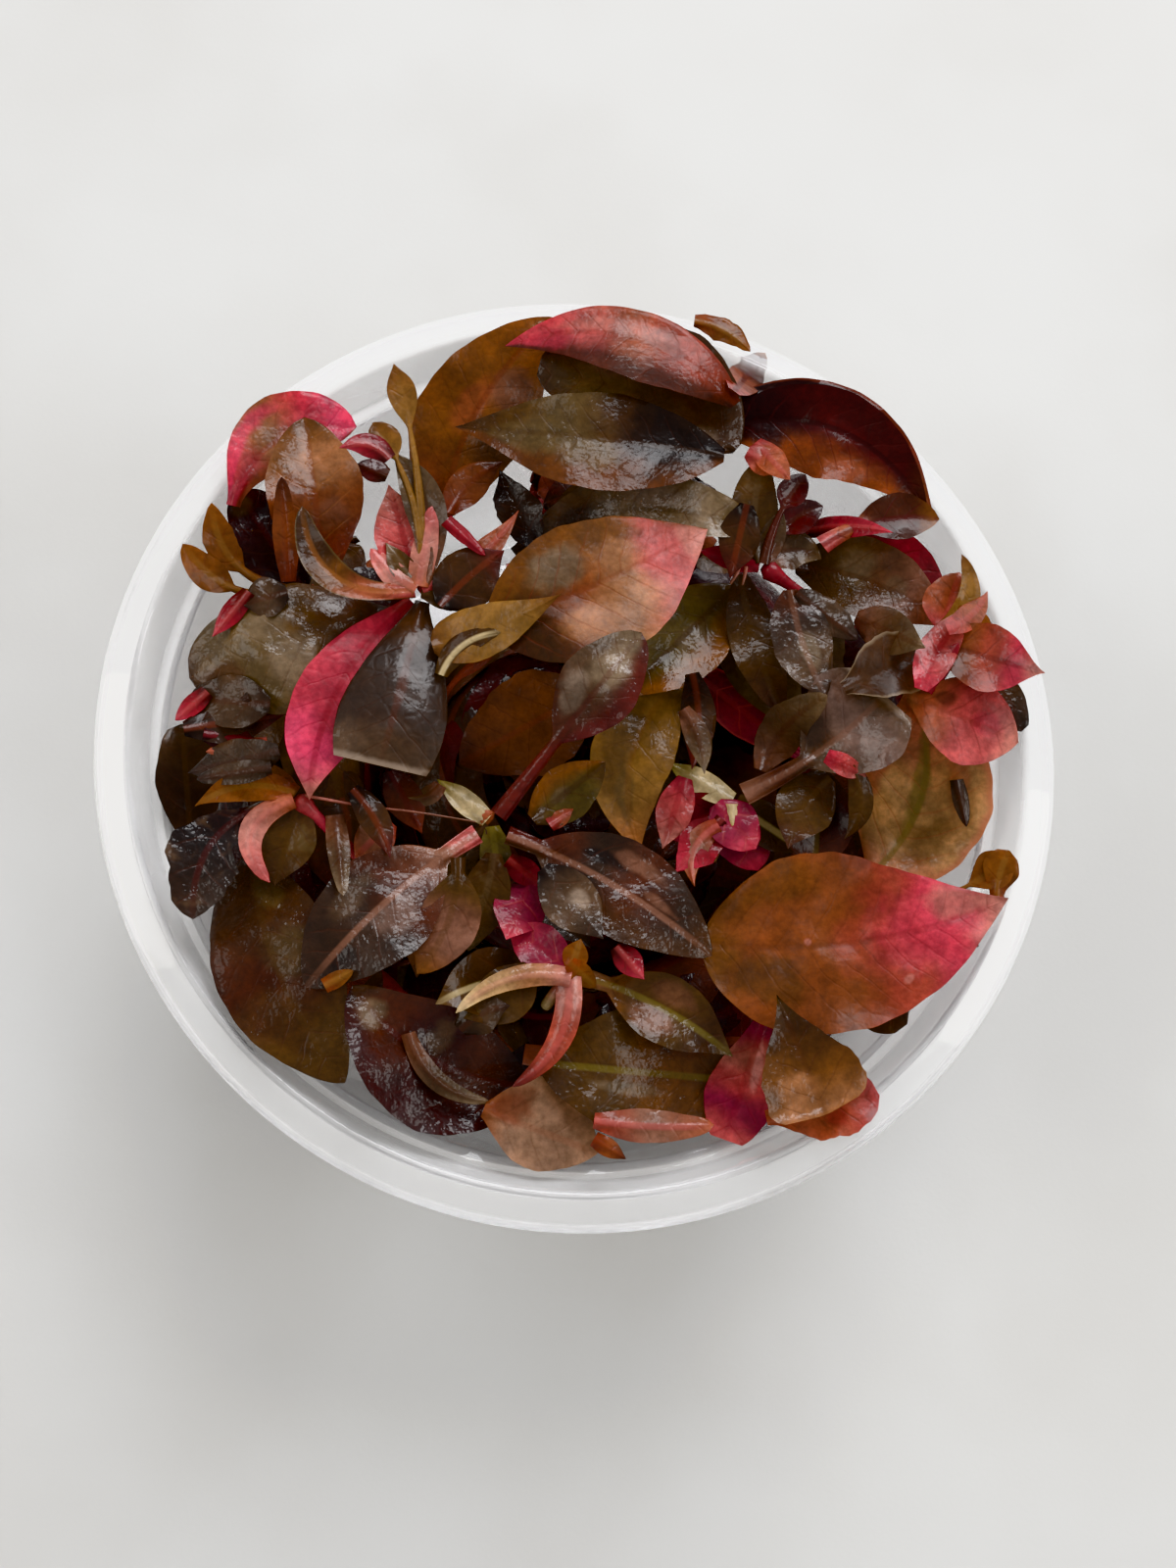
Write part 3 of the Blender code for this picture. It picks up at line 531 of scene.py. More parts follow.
@dataclass(frozen=True)
class Blade:
    """One leaf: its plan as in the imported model, and its finished form.

    Attributes:
        name: the leaf's name, which is its node's where it has one of its own.
        base: where it starts.
        tip: where it ends.
        width: its greatest width in millimetres.
        finish: its surface.
        height: its height at the base, for a leaf of a stem tip.
        rise: how much higher its tip is.
        arch: how much higher its middle is.
        bend: how far its middle lies to the left of the straight line.
        roll: how far it is turned about its length, in degrees.
        cup: how steeply its halves rise from the midrib, in degrees.
        stalk: the share of its length that is leaf stalk.
        wide: where along the blade it is widest.
        cut: the share of its length that is left.
        point: how drawn out its tip is, 0.8 for none.
        left: share of the width kept on its left.
        right: share of the width kept on its right.
        wave: how far its margins wave up and down, in millimetres.
        waves: how many waves a margin has.
        curl: how far its margins turn up, in millimetres.
        lumps: how uneven its surface is, in millimetres.
        ragged: how ragged its outline is, as a share of its width.
        stout: how thick its stalk is beside the usual one.
    """

    name: str
    base: tuple[float, float]
    tip: tuple[float, float]
    width: float
    finish: LeafFinish
    height: float = 0.0
    rise: float = 0.0
    arch: float = 0.0
    bend: float = 0.0
    roll: float = 0.0
    cup: float = 12.0
    stalk: float = 0.0
    wide: float = 0.45
    cut: float = 1.0
    point: float = 1.15
    left: float = 1.0
    right: float = 1.0
    wave: float = 0.25
    waves: float = 2.5
    curl: float = 0.0
    lumps: float = 0.15
    ragged: float = 0.02
    stout: float = 1.0

    @property
    def length(self) -> float:
        """Length from base to tip in millimetres."""
        return math.dist(self.base, self.tip)

    @property
    def seed(self) -> float:
        """A number of the leaf's own that sets its waves and lumps."""
        return self.base[0] * 1.7 + self.base[1] * 2.3 + self.tip[0] * 0.9 + self.tip[1] * 3.1

    def half_widths(self, u: np.ndarray, v: np.ndarray) -> np.ndarray:
        """Half the leaf's width at u, on the side that v is on.

        Args:
            u: shares of the way to the tip, as a column.
            v: shares of the way from the midrib to a margin, as a row.

        Returns:
            Millimetres, for each pair of u and v.
        """
        t = np.clip((u - self.stalk) / (1.0 - self.stalk), 0.0, 1.0)
        ease = np.clip((t - self.wide) / (1.0 - self.wide), 0.0, 1.0)
        power = 0.8 + (self.point - 0.8) * ease * ease * (3.0 - 2.0 * ease)
        shape = np.maximum(np.sin(np.pi * t ** (math.log(0.5) / math.log(self.wide))), 0.0) ** power
        side = np.where(v < 0.0, self.right, self.left)
        fray = 1.0 + self.ragged * (
            np.sin(9.0 * u + self.seed + 2.0 * np.sign(v)) + 0.6 * np.sin(23.0 * u + 1.7 * self.seed)
            + 0.35 * np.sin(57.0 * u + 0.7 * self.seed + np.sign(v))
        )
        return np.hypot(self.width * shape * side * fray, CAD_STEM_WIDTH * self.stout * (1.0 - u)) / 2.0 + 0.04

    def plan(self, u: np.ndarray, v: np.ndarray, half: np.ndarray) -> np.ndarray:
        """The places of points of the leaf on its plan.

        Args:
            u: shares of the way to the tip, as a column.
            v: shares of the way from the midrib to a margin, as a row.
            half: half widths for each pair.

        Returns:
            Rows of x and y in millimetres.
        """
        base, tip = np.array(self.base), np.array(self.tip)
        chord = tip - base
        left = np.array((-chord[1], chord[0])) / self.length
        slope = chord + left * (self.bend * 4.0 * (1.0 - 2.0 * u[..., None]))
        slope = slope / np.linalg.norm(slope, axis=-1, keepdims=True)
        across = np.stack([-slope[..., 1], slope[..., 0]], axis=-1)
        lean = np.radians(self.cup + self.roll * np.sign(v + 1e-9))
        belly = 4.0 * u * (1.0 - u)
        spine = base + chord * u[..., None] + left * (self.bend * belly)[..., None]
        return spine + across * (v * half * np.cos(lean))[..., None]

    def own_heights(self, u: np.ndarray, v: np.ndarray, half: np.ndarray) -> np.ndarray:
        """Heights of a stiff leaf of a stem tip, before the tip is lifted to where it lies."""
        lean = np.radians(self.cup + self.roll * np.sign(v + 1e-9))
        lifted = np.abs(v) * half * np.sin(lean)
        return self.height - CAD_SETTLED + self.rise * u + self.arch * 4.0 * u * (1.0 - u) + lifted

    def cad_rows(self, lines: Lines) -> np.ndarray:
        """Heights of the node's own rows of corners: right margin, midrib and left margin.

        Args:
            lines: the node's crossings.

        Returns:
            One row of three heights for each row of corners.
        """
        rows = []
        for row in range(CAD_ROWS + 1):
            exact = self.cut * row / CAD_ROWS
            u = min(max(exact, 0.004), self.cut * 0.985)
            middle = self.cad_height(lines, u, 0.0)
            sides = []
            for side in (-1.0, 1.0):
                for reach in (0.93, 0.8, 0.6, 0.35):
                    height = self.cad_height(lines, u, side * reach)
                    if height is not None and middle is not None:
                        sides.append(middle + (height - middle) / reach)
                        break
                else:
                    sides.append(middle)
            rows.append([sides[0], middle, sides[1]])
        known = [row for row in rows if row[1] is not None]
        filled = [row if row[1] is not None else known[0 if index < 2 else -1] for index, row in enumerate(rows)]
        return np.array(filled, dtype=float)

    def draped_rows(self, lines: Lines) -> np.ndarray:
        """Heights for a small leaf that lies on whatever the sight lines meet first.

        Args:
            lines: the crossings of the whole heap.

        Returns:
            Rows like those of cad_rows.
        """
        shares = np.linspace(0.08, 0.92, 5)
        found = []
        for share in shares:
            u = np.array([[share * self.cut]])
            half = self.half_widths(u, np.array([[0.0]]))
            heights = []
            for reach in (-0.6, 0.0, 0.6):
                x, y = self.plan(u, np.array([[reach]]), half)[0, 0]
                heights.append(lines.top(x, y))
            known = [height for height in heights if height is not None]
            found.append(max(*known, LOWEST_LAID) if known else math.nan)
        found = np.array(found)
        good = ~np.isnan(found)
        if good.sum() < 2:
            found, good = np.full(len(shares), np.nanmax([*found, BESIDE_HEAP])), np.full(len(shares), True)
        slope, start = np.polyfit(shares[good], found[good], 1)
        over = max(0.0, float(np.max(found[good] - (start + slope * shares[good]))))
        run = start + slope * np.linspace(0.0, 1.0, CAD_ROWS + 1) + min(over, 1.5) + LAID_GAP
        run = np.maximum(run, LOWEST_LAID)
        return np.repeat(run[:, None], 3, axis=1)

    def cad_height(self, lines: Lines, u: float, v: float) -> float | None:
        """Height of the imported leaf's middle surface at u and v."""
        t = (u - self.stalk) / (1.0 - self.stalk)
        shape = 0.0
        if 0.0 < t < 1.0:
            shape = math.sin(math.pi * t ** (math.log(0.5) / math.log(self.wide))) ** 0.8
        half = np.array([[math.hypot(self.width * shape, CAD_STEM_WIDTH * (1.0 - u)) / 2.0]])
        x, y = self.plan(np.array([[u]]), np.array([[v]]), half)[0, 0]
        return lines.middle(x, y)

    def laid_heights(self, rows: np.ndarray, u: np.ndarray, v: np.ndarray) -> np.ndarray:
        """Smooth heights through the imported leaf's corners, with part of the crease at its midrib."""
        run = catmull_rom(rows, np.clip(u[:, 0] / self.cut, 0.0, 1.0) * CAD_ROWS)
        right, middle, left = run[:, :1], run[:, 1:2], run[:, 2:]
        soft = middle + v * (left - right) / 2.0 + v * v * ((left + right) / 2.0 - middle)
        sharp = middle + np.abs(v) * (np.where(v < 0.0, right, left) - middle)
        return 0.6 * soft + 0.4 * sharp

    def relief(self, u: np.ndarray, v: np.ndarray, half: np.ndarray) -> np.ndarray:
        """Waves of the margins, quilting between the side veins and lumps, in millimetres."""
        s, q = u * self.length, v * half
        side = np.sign(v)
        wave = self.wave * np.abs(v) ** 3 * np.sin(math.tau * self.waves * u + self.seed + 1.3 * side)
        quilt = 0.035 * np.cos(math.tau * (s - np.abs(q) * VEIN_SLANT) / VEIN_GAP) * (1.0 - np.abs(v))
        quilt = quilt * np.clip(half / 4.0, 0.0, 1.0)
        turned = self.curl * v ** 4
        lump = np.array([
            [noise.noise(Vector((s[row, 0] / 5.0, q[row, column] / 5.0, self.seed))) for column in range(v.shape[1])]
            for row in range(u.shape[0])
        ])
        calm = np.clip(half / 1.5 - 0.6, 0.0, 1.0)
        return wave * calm + quilt + turned * calm + self.lumps * 2.0 * lump * calm

    def grid(self) -> tuple[np.ndarray, np.ndarray]:
        """The rows and columns of points that the finished leaf has."""
        rows = max(10, round(self.length * self.cut / POINT_SPACING))
        columns = 2 * max(4, round(self.width / POINT_SPACING / 2.6))
        u = np.linspace(0.0, self.cut, rows + 1)[:, None]
        even = np.linspace(-1.0, 1.0, columns + 1)[None, :]
        return u, np.sign(even) * np.abs(even) ** 1.25

    def add_to(self, bm: bmesh.types.BMesh, material_index: int, rows: np.ndarray | None, lift: float) -> None:
        """Adds the finished leaf to a mesh.

        Args:
            bm: the mesh, in true places in millimetres.
            material_index: the slot that its finish is in.
            rows: heights of its node's corners, or None for a leaf of a stem tip.
            lift: how far a stem tip is lifted to where it lies.
        """
        u, v = self.grid()
        half = self.half_widths(u, v)
        plan = self.plan(u + 0.0 * v, v, half)
        heights = self.own_heights(u, v, half) + lift if rows is None else self.laid_heights(rows, u, v)
        heights = heights + self.relief(u, v, half)
        radius = 0.42 * CAD_STEM_WIDTH * self.stout * (1.0 - u) ** 0.8 * (1.0 + 0.0 * v)
        rib = np.sqrt(np.maximum(radius ** 2 - (v * half) ** 2, 0.0))
        in_blade = np.clip(half / 2.0 - 0.5, 0.0, 1.0)
        skin = MARGIN_SKIN + (SKIN - MARGIN_SKIN) * (1.0 - np.abs(v) ** 4)
        upper = skin + rib * (1.0 - 1.15 * in_blade)
        lower = skin + rib * (1.0 - 0.35 * in_blade)
        top = to_place(np.dstack([plan, heights + upper]))
        bottom = to_place(np.dstack([plan, heights - lower]))
        lay = np.dstack([u / self.cut + 0.0 * v, v + 0.0 * u, 0.0 * half])
        grain = np.dstack([u * self.length + 0.0 * v, v * half, 0.0 * half])
        add_sheet(bm, top, bottom, lay, grain, material_index)


def add_sheet(
    bm: bmesh.types.BMesh, top: np.ndarray, bottom: np.ndarray, lay: np.ndarray, grain: np.ndarray, material_index: int,
) -> None:
    """Adds a closed thin sheet between two surfaces of points.

    Args:
        bm: the mesh to add to.
        top: rows and columns of points of the upper side.
        bottom: the same for the underside.
        lay: for each point, its share of the length and of the half width.
        grain: for each point, its distance from the base and from the midrib in millimetres.
        material_index: the slot for its faces.
    """
    lays = bm.verts.layers.float_vector.get("lay") or bm.verts.layers.float_vector.new("lay")
    grains = bm.verts.layers.float_vector.get("grain") or bm.verts.layers.float_vector.new("grain")
    rows, columns = top.shape[0] - 1, top.shape[1] - 1
    sheet = bmesh.ops.create_grid(bm, x_segments=rows, y_segments=columns, size=1.0)["verts"]
    faces = list({face for vertex in sheet for face in vertex.link_faces})
    for face in faces:
        face.material_index = material_index
    for vertex in sheet:
        row, column = round((vertex.co.x + 1.0) / 2.0 * rows), round((vertex.co.y + 1.0) / 2.0 * columns)
        vertex.co = (row, column, 0.0)
    copied = bmesh.ops.extrude_face_region(bm, geom=faces, use_keep_orig=True)["geom"]
    under = [part for part in copied if isinstance(part, bmesh.types.BMVert)]
    for points, vertices in ((top, sheet), (bottom, under)):
        for vertex in vertices:
            row, column = round(vertex.co.x), round(vertex.co.y)
            vertex.co = points[row, column]
            vertex[lays] = lay[row, column]
            vertex[grains] = grain[row, column]


def add_tube(
    bm: bmesh.types.BMesh, route: np.ndarray, radii: np.ndarray, material_index: int, sides: int = 12,
) -> None:
    """Adds a closed round tube along a route.

    Args:
        bm: the mesh to add to.
        route: points in true places in millimetres.
        radii: the radius at each point.
        material_index: the slot for its faces.
        sides: how many sides it has.
    """
    lays = bm.verts.layers.float_vector.get("lay") or bm.verts.layers.float_vector.new("lay")
    grains = bm.verts.layers.float_vector.get("grain") or bm.verts.layers.float_vector.new("grain")
    steps = len(route) - 1
    slopes = np.gradient(route, axis=0)
    travelled = np.concatenate([[0.0], np.cumsum(np.linalg.norm(np.diff(route, axis=0), axis=1))])
    turns = []
    side = Vector(slopes[0]).orthogonal().normalized()
    for slope in slopes:
        way = Vector(slope).normalized()
        side = (side - way * side.dot(way)).normalized()
        turns.append((side.copy(), way.cross(side)))
    wrap = bmesh.ops.create_grid(bm, x_segments=steps + 2, y_segments=sides, size=1.0)["verts"]
    for face in {face for vertex in wrap for face in vertex.link_faces}:
        face.material_index = material_index
    for vertex in wrap:
        row = round((vertex.co.x + 1.0) / 2.0 * (steps + 2))
        turn = math.tau * round((vertex.co.y + 1.0) / 2.0 * sides) / sides
        ring = min(max(row - 1, 0), steps)
        radius = 0.0 if row in (0, steps + 2) else radii[ring]
        first, second = turns[ring]
        vertex[lays] = (ring / steps, 0.3 * math.cos(turn), 0.0)
        vertex[grains] = (travelled[ring], 1.0, 0.0)
        vertex.co = Vector(route[ring]) + (first * math.cos(turn) + second * math.sin(turn)) * radius
    bmesh.ops.remove_doubles(bm, verts=wrap, dist=0.0001)


def finish_piece(name: str, bm: bmesh.types.BMesh, materials: list, node: str) -> bpy.types.Object:
    """Makes a mesh an object of the finished model, in place of a node.

    Args:
        name: the piece's name.
        bm: its mesh, in true places in millimetres.
        materials: its materials, in the order of their slots.
        node: the node that it stands for.

    Returns:
        The new object.
    """
    bmesh.ops.scale(bm, vec=(MM, MM, MM), verts=bm.verts)
    bmesh.ops.recalc_face_normals(bm, faces=bm.faces)
    mesh = bpy.data.meshes.new(name)
    bm.to_mesh(mesh)
    bm.free()
    for material in materials:
        mesh.materials.append(material)
    mesh.shade_smooth()
    mesh.set_sharp_from_angle(angle=math.radians(70.0))
    made = bpy.data.objects.new(name, mesh)
    bpy.context.scene.collection.objects.link(made)
    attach(made, ROOT)
    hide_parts(node)
    log.info("%s: %d faces", name, len(mesh.polygons))
    return made


class Finishes:
    """Makes each finish's material once."""

    def __init__(self):
        """Starts with no materials made."""
        self.made: dict[str, bpy.types.Material] = {}

    def material(self, finish) -> bpy.types.Material:
        """The material of a finish, made on its first use."""
        if finish.name not in self.made:
            self.made[finish.name] = finish.material()
        return self.made[finish.name]


C = Colour
F = LeafFinish
S = Spot

AMBER_LEAF = F("amber", (C.ORANGE, C.AMBER, C.AMBER), C.OCHRE, 0.5, veins=0.2, vein_colour=C.RUST, glow=0.42)
AMBER_TOP = F("amber, rust base", (C.RUST, C.AMBER, C.AMBER, C.AMBER), C.RUST, 0.35, glow=0.42, veins=0.15, spots=(
    S(0.62, -0.35, 0.13, 0.5, C.SALMON_GREY), S(0.50, 0.15, 0.16, 0.3, C.SALMON, 0.5),
    S(0.38, -0.7, 0.14, 0.6, C.OLIVE_BROWN, 0.8)))
OCHRE_LEAF = F("ochre", (C.OCHRE, C.OCHRE, C.OCHRE, C.TAN), C.AMBER, 0.2, glow=0.35, veins=0.12, spots=(
    S(0.45, -0.4, 0.35, 0.5, C.OLIVE, 0.6), S(0.7, -0.1, 0.2, 0.35, C.GREY_OLIVE, 0.6)))
AMBER_BAND = F("amber band", (C.OLIVE_AMBER, C.OCHRE, C.OCHRE, C.OLIVE_AMBER), C.OCHRE, 0.2, glow=0.35, veins=0.12)
ORANGE_BACK = F("rust back", (C.DARK_MAROON, C.DARK_MAROON, C.RUST, C.BRICK_BROWN), C.MAROON, 0.4, margin=C.RUST, glow=0.35)
# Orange right half and salmon margin spot are painted light on the lit side of a maroon leaf.
MAROON_ARCHED = F("maroon, orange lit", (C.DARK_MAROON, C.DARK_MAROON, C.MAROON, C.MAROON, C.MAROON, C.BROWN),
                  C.DARK_MAROON, 0.6, half=C.ORANGE, half_side=-1.0, glow=0.45, veins=0.4, vein_colour=C.MAROON,
                  spots=(S(0.62, -0.75, 0.15, 0.35, C.SALMON, 0.8), S(0.12, 0.0, 0.14, 1.2, C.DARK_MAROON, 0.95)))
RED_LEAF = F("dark red", (C.MAROON, C.CRIMSON, C.MAROON), C.MAROON, 0.5, glow=0.3)
# Maroon leaf whose shaded side is painted near black: partly its own dark colour, partly painted shade.
NEAR_BLACK = F("maroon, darkened by painted shade", (C.BLACK_RED, C.BLACK_RED, C.DARK_MAROON), C.MAROON, 0.3, wet=Wet.SOAKED,
               glow=0.08, wrinkles=0.8, spots=(S(0.9, 0.3, 0.12, 0.6, C.GREY_OLIVE, 0.7),))
MAGENTA_LEAF = F("deep magenta", (C.MAROON, C.CRIMSON, C.MAGENTA), C.ROSE, 0.4, veins=0.7, vein_colour=C.ROSE,
                 margin=C.ROSE, glow=0.25)
OLIVE_PINK_BIG = F("olive to pink", (C.OLIVE_AMBER, C.BRICK_BROWN, C.BRICK_BROWN, C.BRICK, C.RASPBERRY, C.DUSTY_PINK),
                   C.BROWN, 0.2, wrinkles=0.4, veins=0.12, glow=0.3, wet=Wet.DAMP, spots=(
    S(0.72, 0.0, 0.2, 0.8, C.RASPBERRY, 0.6), S(0.28, 0.75, 0.14, 0.3, C.OLIVE_AMBER, 0.6),
    S(0.85, 0.5, 0.12, 0.5, C.DUSTY_PINK, 0.6), S(0.2, -0.4, 0.14, 0.4, C.OLIVE, 0.6),
    S(0.33, 0.05, 0.016, 0.05, C.DUSTY_PINK, 0.5), S(0.62, -0.62, 0.02, 0.08, C.DUSTY_PINK, 0.5)))
# Black-brown and slate at the base and the black-brown spot are painted shade; the grey-olive spots are painted sheen.
POINTED_TOP = F("olive, painted grey sheen and painted shade", (C.BLACK_BROWN, C.SLATE, C.OLIVE_BROWN, C.GREY_OLIVE, C.OLIVE, C.OLIVE_BROWN),
                C.OLIVE_BROWN, 0.3, half=C.AMBER_BROWN, half_side=1.0, wrinkles=1.0, wet=Wet.WET, veins=0.15, spots=(
    S(0.50, 0.30, 0.13, 0.42, C.GREY_OLIVE, 0.6), S(0.2, -0.2, 0.22, 1.0, C.BLACK_BROWN, 0.8),
    S(0.75, 0.1, 0.16, 0.6, C.GREY_OLIVE, 0.7)))
# Brown left half is painted shade: the leaf's lower half lying in shade beneath its neighbour.
PINK_RIM_TOP = F("salmon to crimson, back", (C.RUST, C.BRICK, C.SALMON, C.ROSE, C.RASPBERRY), C.RUST, 0.25,
                 half=C.BROWN, half_side=1.0, vein_colour=C.RUST, veins=0.25, glow=0.45, spots=(
    S(0.55, -0.35, 0.25, 0.35, C.DUSTY_PINK, 0.6), S(0.85, 0.2, 0.12, 0.6, C.RASPBERRY, 0.8)))
# Ash and grey-brown spots are painted highlights of the wet film.
GLOSSY_TOP = F("olive slate, painted highlights", (C.OLIVE_BROWN, C.OLIVE_BROWN, C.GREY_OLIVE, C.OLIVE_BROWN), C.SLATE, 0.2,
               wet=Wet.SOAKED, wrinkles=1.1, glow=0.15, spots=(
    S(0.69, -0.35, 0.09, 0.3, C.ASH, 0.75), S(0.5, -0.62, 0.1, 0.16, C.ASH, 0.75),
    S(0.42, 0.1, 0.16, 0.4, C.GREY_BROWN, 0.7), S(0.15, 0.2, 0.06, 0.3, C.ASH, 0.6)))
PINK_RIM_LEFT = F("salmon to hot pink", (C.RASPBERRY, C.ROSE, C.SALMON_TAN, C.RASPBERRY, C.HOT_PINK), C.CRIMSON, 0.3,
                  half=C.BRICK_BROWN, half_side=-1.0, glow=0.45, veins=0.15, spots=(
    S(0.94, 0.0, 0.12, 1.0, C.HOT_PINK, 0.9), S(0.3, 0.75, 0.35, 0.3, C.HOT_PINK, 0.7)))
SALMON_LEFT = F("salmon olive", (C.BROWN, C.RUST, C.BRICK_BROWN, C.SALMON_TAN, C.OLIVE_AMBER), C.RUST, 0.3, veins=0.25,
                vein_colour=C.TAN, wrinkles=0.8, glow=0.4, wet=Wet.SOAKED, spots=(
    S(0.66, -0.1, 0.12, 0.5, C.SALMON_TAN, 0.8), S(0.4, -0.3, 0.12, 0.5, C.SALMON_GREY, 0.7),
    S(0.8, 0.6, 0.14, 0.4, C.OLIVE_AMBER, 0.7)))
ORANGE_STRIP = F("rust strip", (C.RUST, C.BRICK_BROWN, C.BROWN), C.RUST, 0.3, glow=0.3)
# Grey-olive tones and taupe spots are painted sheen of the wet film.
GREY_LEFT = F("grey olive, painted sheen", (C.OLIVE_BROWN, C.OLIVE_BROWN, C.OLIVE, C.GREY_OLIVE, C.GREY_OLIVE, C.OLIVE_BROWN),
              C.OLIVE, 0.2, wet=Wet.SOAKED, wrinkles=0.9, glow=0.15, veins=0.15, spots=(
    S(0.52, 0.25, 0.15, 0.5, C.TAUPE, 0.85), S(0.6, -0.4, 0.1, 0.3, C.TAUPE, 0.6),
    S(0.85, 0.3, 0.12, 0.5, C.BROWN, 0.6)))
PINK_LEFT = F("hot pink", (C.ROSE, C.RASPBERRY, C.RASPBERRY, C.RASPBERRY, C.HOT_PINK, C.DUSTY_PINK), C.CRIMSON, 0.5,
              veins=0.25, vein_colour=C.CRIMSON, wrinkles=0.3, glow=0.35, wet=Wet.DAMP)
DARK_CUT = F("slate, cut", (C.OLIVE_BROWN, C.SLATE, C.SLATE, C.GREY_BROWN), C.BROWN, 0.3, torn_end=True,
             wet=Wet.WET, wrinkles=0.3, glow=0.08, veins=0.1, spots=(
    S(0.5, 0.02, 0.3, 0.14, C.BROWN, 0.45), S(0.15, 0.0, 0.14, 1.0, C.OLIVE_BROWN, 0.8)))
# Dark brown base is partly the leaf's own colour and partly painted shade in its lower corner.
PINK_CENTRE = F("tan to pink", (C.BROWN, C.OLIVE_BROWN, C.BRICK_BROWN, C.SALMON_TAN, C.ROSE, C.DUSTY_PINK), C.RUST, 0.2,
                half=C.OLIVE_AMBER, half_side=1.0, veins=0.25, vein_colour=C.RUST, wet=Wet.DAMP, wrinkles=0.6, spots=(
    S(0.36, 0.45, 0.15, 0.42, C.TAUPE, 0.8), S(0.82, 0.1, 0.15, 1.2, C.ROSE, 0.7),
    S(0.45, -0.5, 0.2, 0.4, C.SALMON_TAN, 0.8), S(0.62, 0.3, 0.12, 0.4, C.SALMON_TAN, 0.5),
    S(0.93, 0.0, 0.07, 1.2, C.DUSTY_PINK, 0.8)))
# Taupe spot is a painted highlight on the leaf's fold.
GREEN_CENTRE = F("yellow olive", (C.OLIVE, C.OLIVE_GREEN, C.OLIVE_GREEN, C.OLIVE), C.OLIVE_BROWN, 0.5,
                 half=C.AMBER, half_side=1.0, wet=Wet.SOAKED, wrinkles=0.6, spots=(
    S(0.4, 0.1, 0.15, 0.25, C.TAUPE, 0.6),))
OLIVE_CENTRE = F("olive brown", (C.OLIVE_BROWN, C.AMBER_BROWN, C.AMBER_BROWN, C.BROWN), C.RUST, 0.3, wrinkles=0.4,
                 wet=Wet.WET)
OLIVE_LEAF = F("olive", (C.OLIVE_BROWN, C.OLIVE, C.OLIVE_BROWN), C.OLIVE, 0.4, patch=C.GREY_OLIVE, patches=0.2)
OLIVE_TAN = F("olive tan", (C.OLIVE_BROWN, C.OLIVE, C.OLIVE, C.TAUPE), C.TAUPE, 0.3, patch=C.TAUPE, patches=0.25)
OLIVE_WET = F("olive, salmon end", (C.OLIVE_BROWN, C.OLIVE, C.SALMON_GREY, C.BRICK_BROWN), C.BROWN, 0.35, wet=Wet.SOAKED,
              wrinkles=0.9, spots=(S(0.35, 0.2, 0.14, 0.6, C.TAUPE, 0.8), S(0.6, 0.1, 0.1, 0.4, C.TAUPE, 0.5)))
# Taupe spot beside the midrib is a painted highlight.
OLIVE_RIBBED = F("olive, yellow midrib", (C.OLIVE_BROWN, C.OLIVE_AMBER, C.OLIVE, C.OLIVE_BROWN), C.YELLOW_OLIVE, 0.5,
                 wet=Wet.SOAKED, wrinkles=0.9, veins=0.1, spots=(S(0.55, 0.28, 0.22, 0.12, C.TAUPE, 0.6),
    S(0.3, -0.5, 0.2, 0.3, C.BROWN, 0.6)))
BROWN_RIBBED = F("brown, faint midrib", (C.BROWN, C.DARK_MAROON, C.OLIVE_BROWN), C.YELLOW_OLIVE, 0.25)
# Grey-brown and taupe at the tip and the taupe and ash spots are painted sheen and highlights of the wet film.
GREY_CENTRE = F("bubbled dark leaf, painted grey sheen", (C.CRIMSON_BROWN, C.CRIMSON_BROWN, C.BROWN, C.GREY_BROWN, C.TAUPE), C.MAROON, 0.3,
                wet=Wet.SOAKED, wrinkles=1.3, glow=0.1, half=C.MAROON, half_side=-1.0, spots=(
    S(0.8, 0.1, 0.13, 0.6, C.TAUPE, 0.8), S(0.6, 0.5, 0.12, 0.5, C.ASH, 0.7)))
# Taupe tones and the ash spot are painted sheen and a painted highlight.
GREY_LONG = F("long brown leaf, painted grey sheen", (C.SLATE, C.GREY_BROWN, C.TAUPE, C.TAUPE, C.GREY_OLIVE), C.SLATE, 0.3,
              wet=Wet.SOAKED, wrinkles=1.1, glow=0.12, spots=(
    S(0.3, 0.2, 0.12, 0.4, C.BLACK_BROWN, 0.6), S(0.62, 0.35, 0.16, 0.35, C.ASH, 0.8)))
BLACK_CURLED = F("grey black", (C.BLACK_BROWN, C.SLATE, C.BLACK_BROWN), C.SLATE, 0.3, wet=Wet.SOAKED,
                 wrinkles=1.3, glow=0.06)
# Grey-brown middle and ash spot are painted glossy streaks.
BLACK_GLOSSY = F("near black, painted glossy streaks", (C.BLACK_BROWN, C.GREY_BROWN, C.SLATE), C.SLATE, 0.2,
                 wet=Wet.SOAKED, wrinkles=1.6, glow=0.05, spots=(S(0.5, 0.3, 0.16, 0.4, C.ASH, 0.8),))
# Grey-brown and taupe spots are painted highlights.
DARK_CURLED = F("dark brown, painted highlights", (C.BLACK_BROWN, C.BROWN, C.DARK_MAROON, C.BROWN, C.GREY_BROWN), C.MAROON, 0.3,
                wet=Wet.SOAKED, wrinkles=1.2, glow=0.1, half=C.DARK_MAROON, half_side=1.0, veins=0.15, spots=(
    S(0.5, -0.4, 0.08, 0.4, C.GREY_BROWN, 0.8), S(0.85, 0.0, 0.08, 0.5, C.TAUPE, 0.6)))
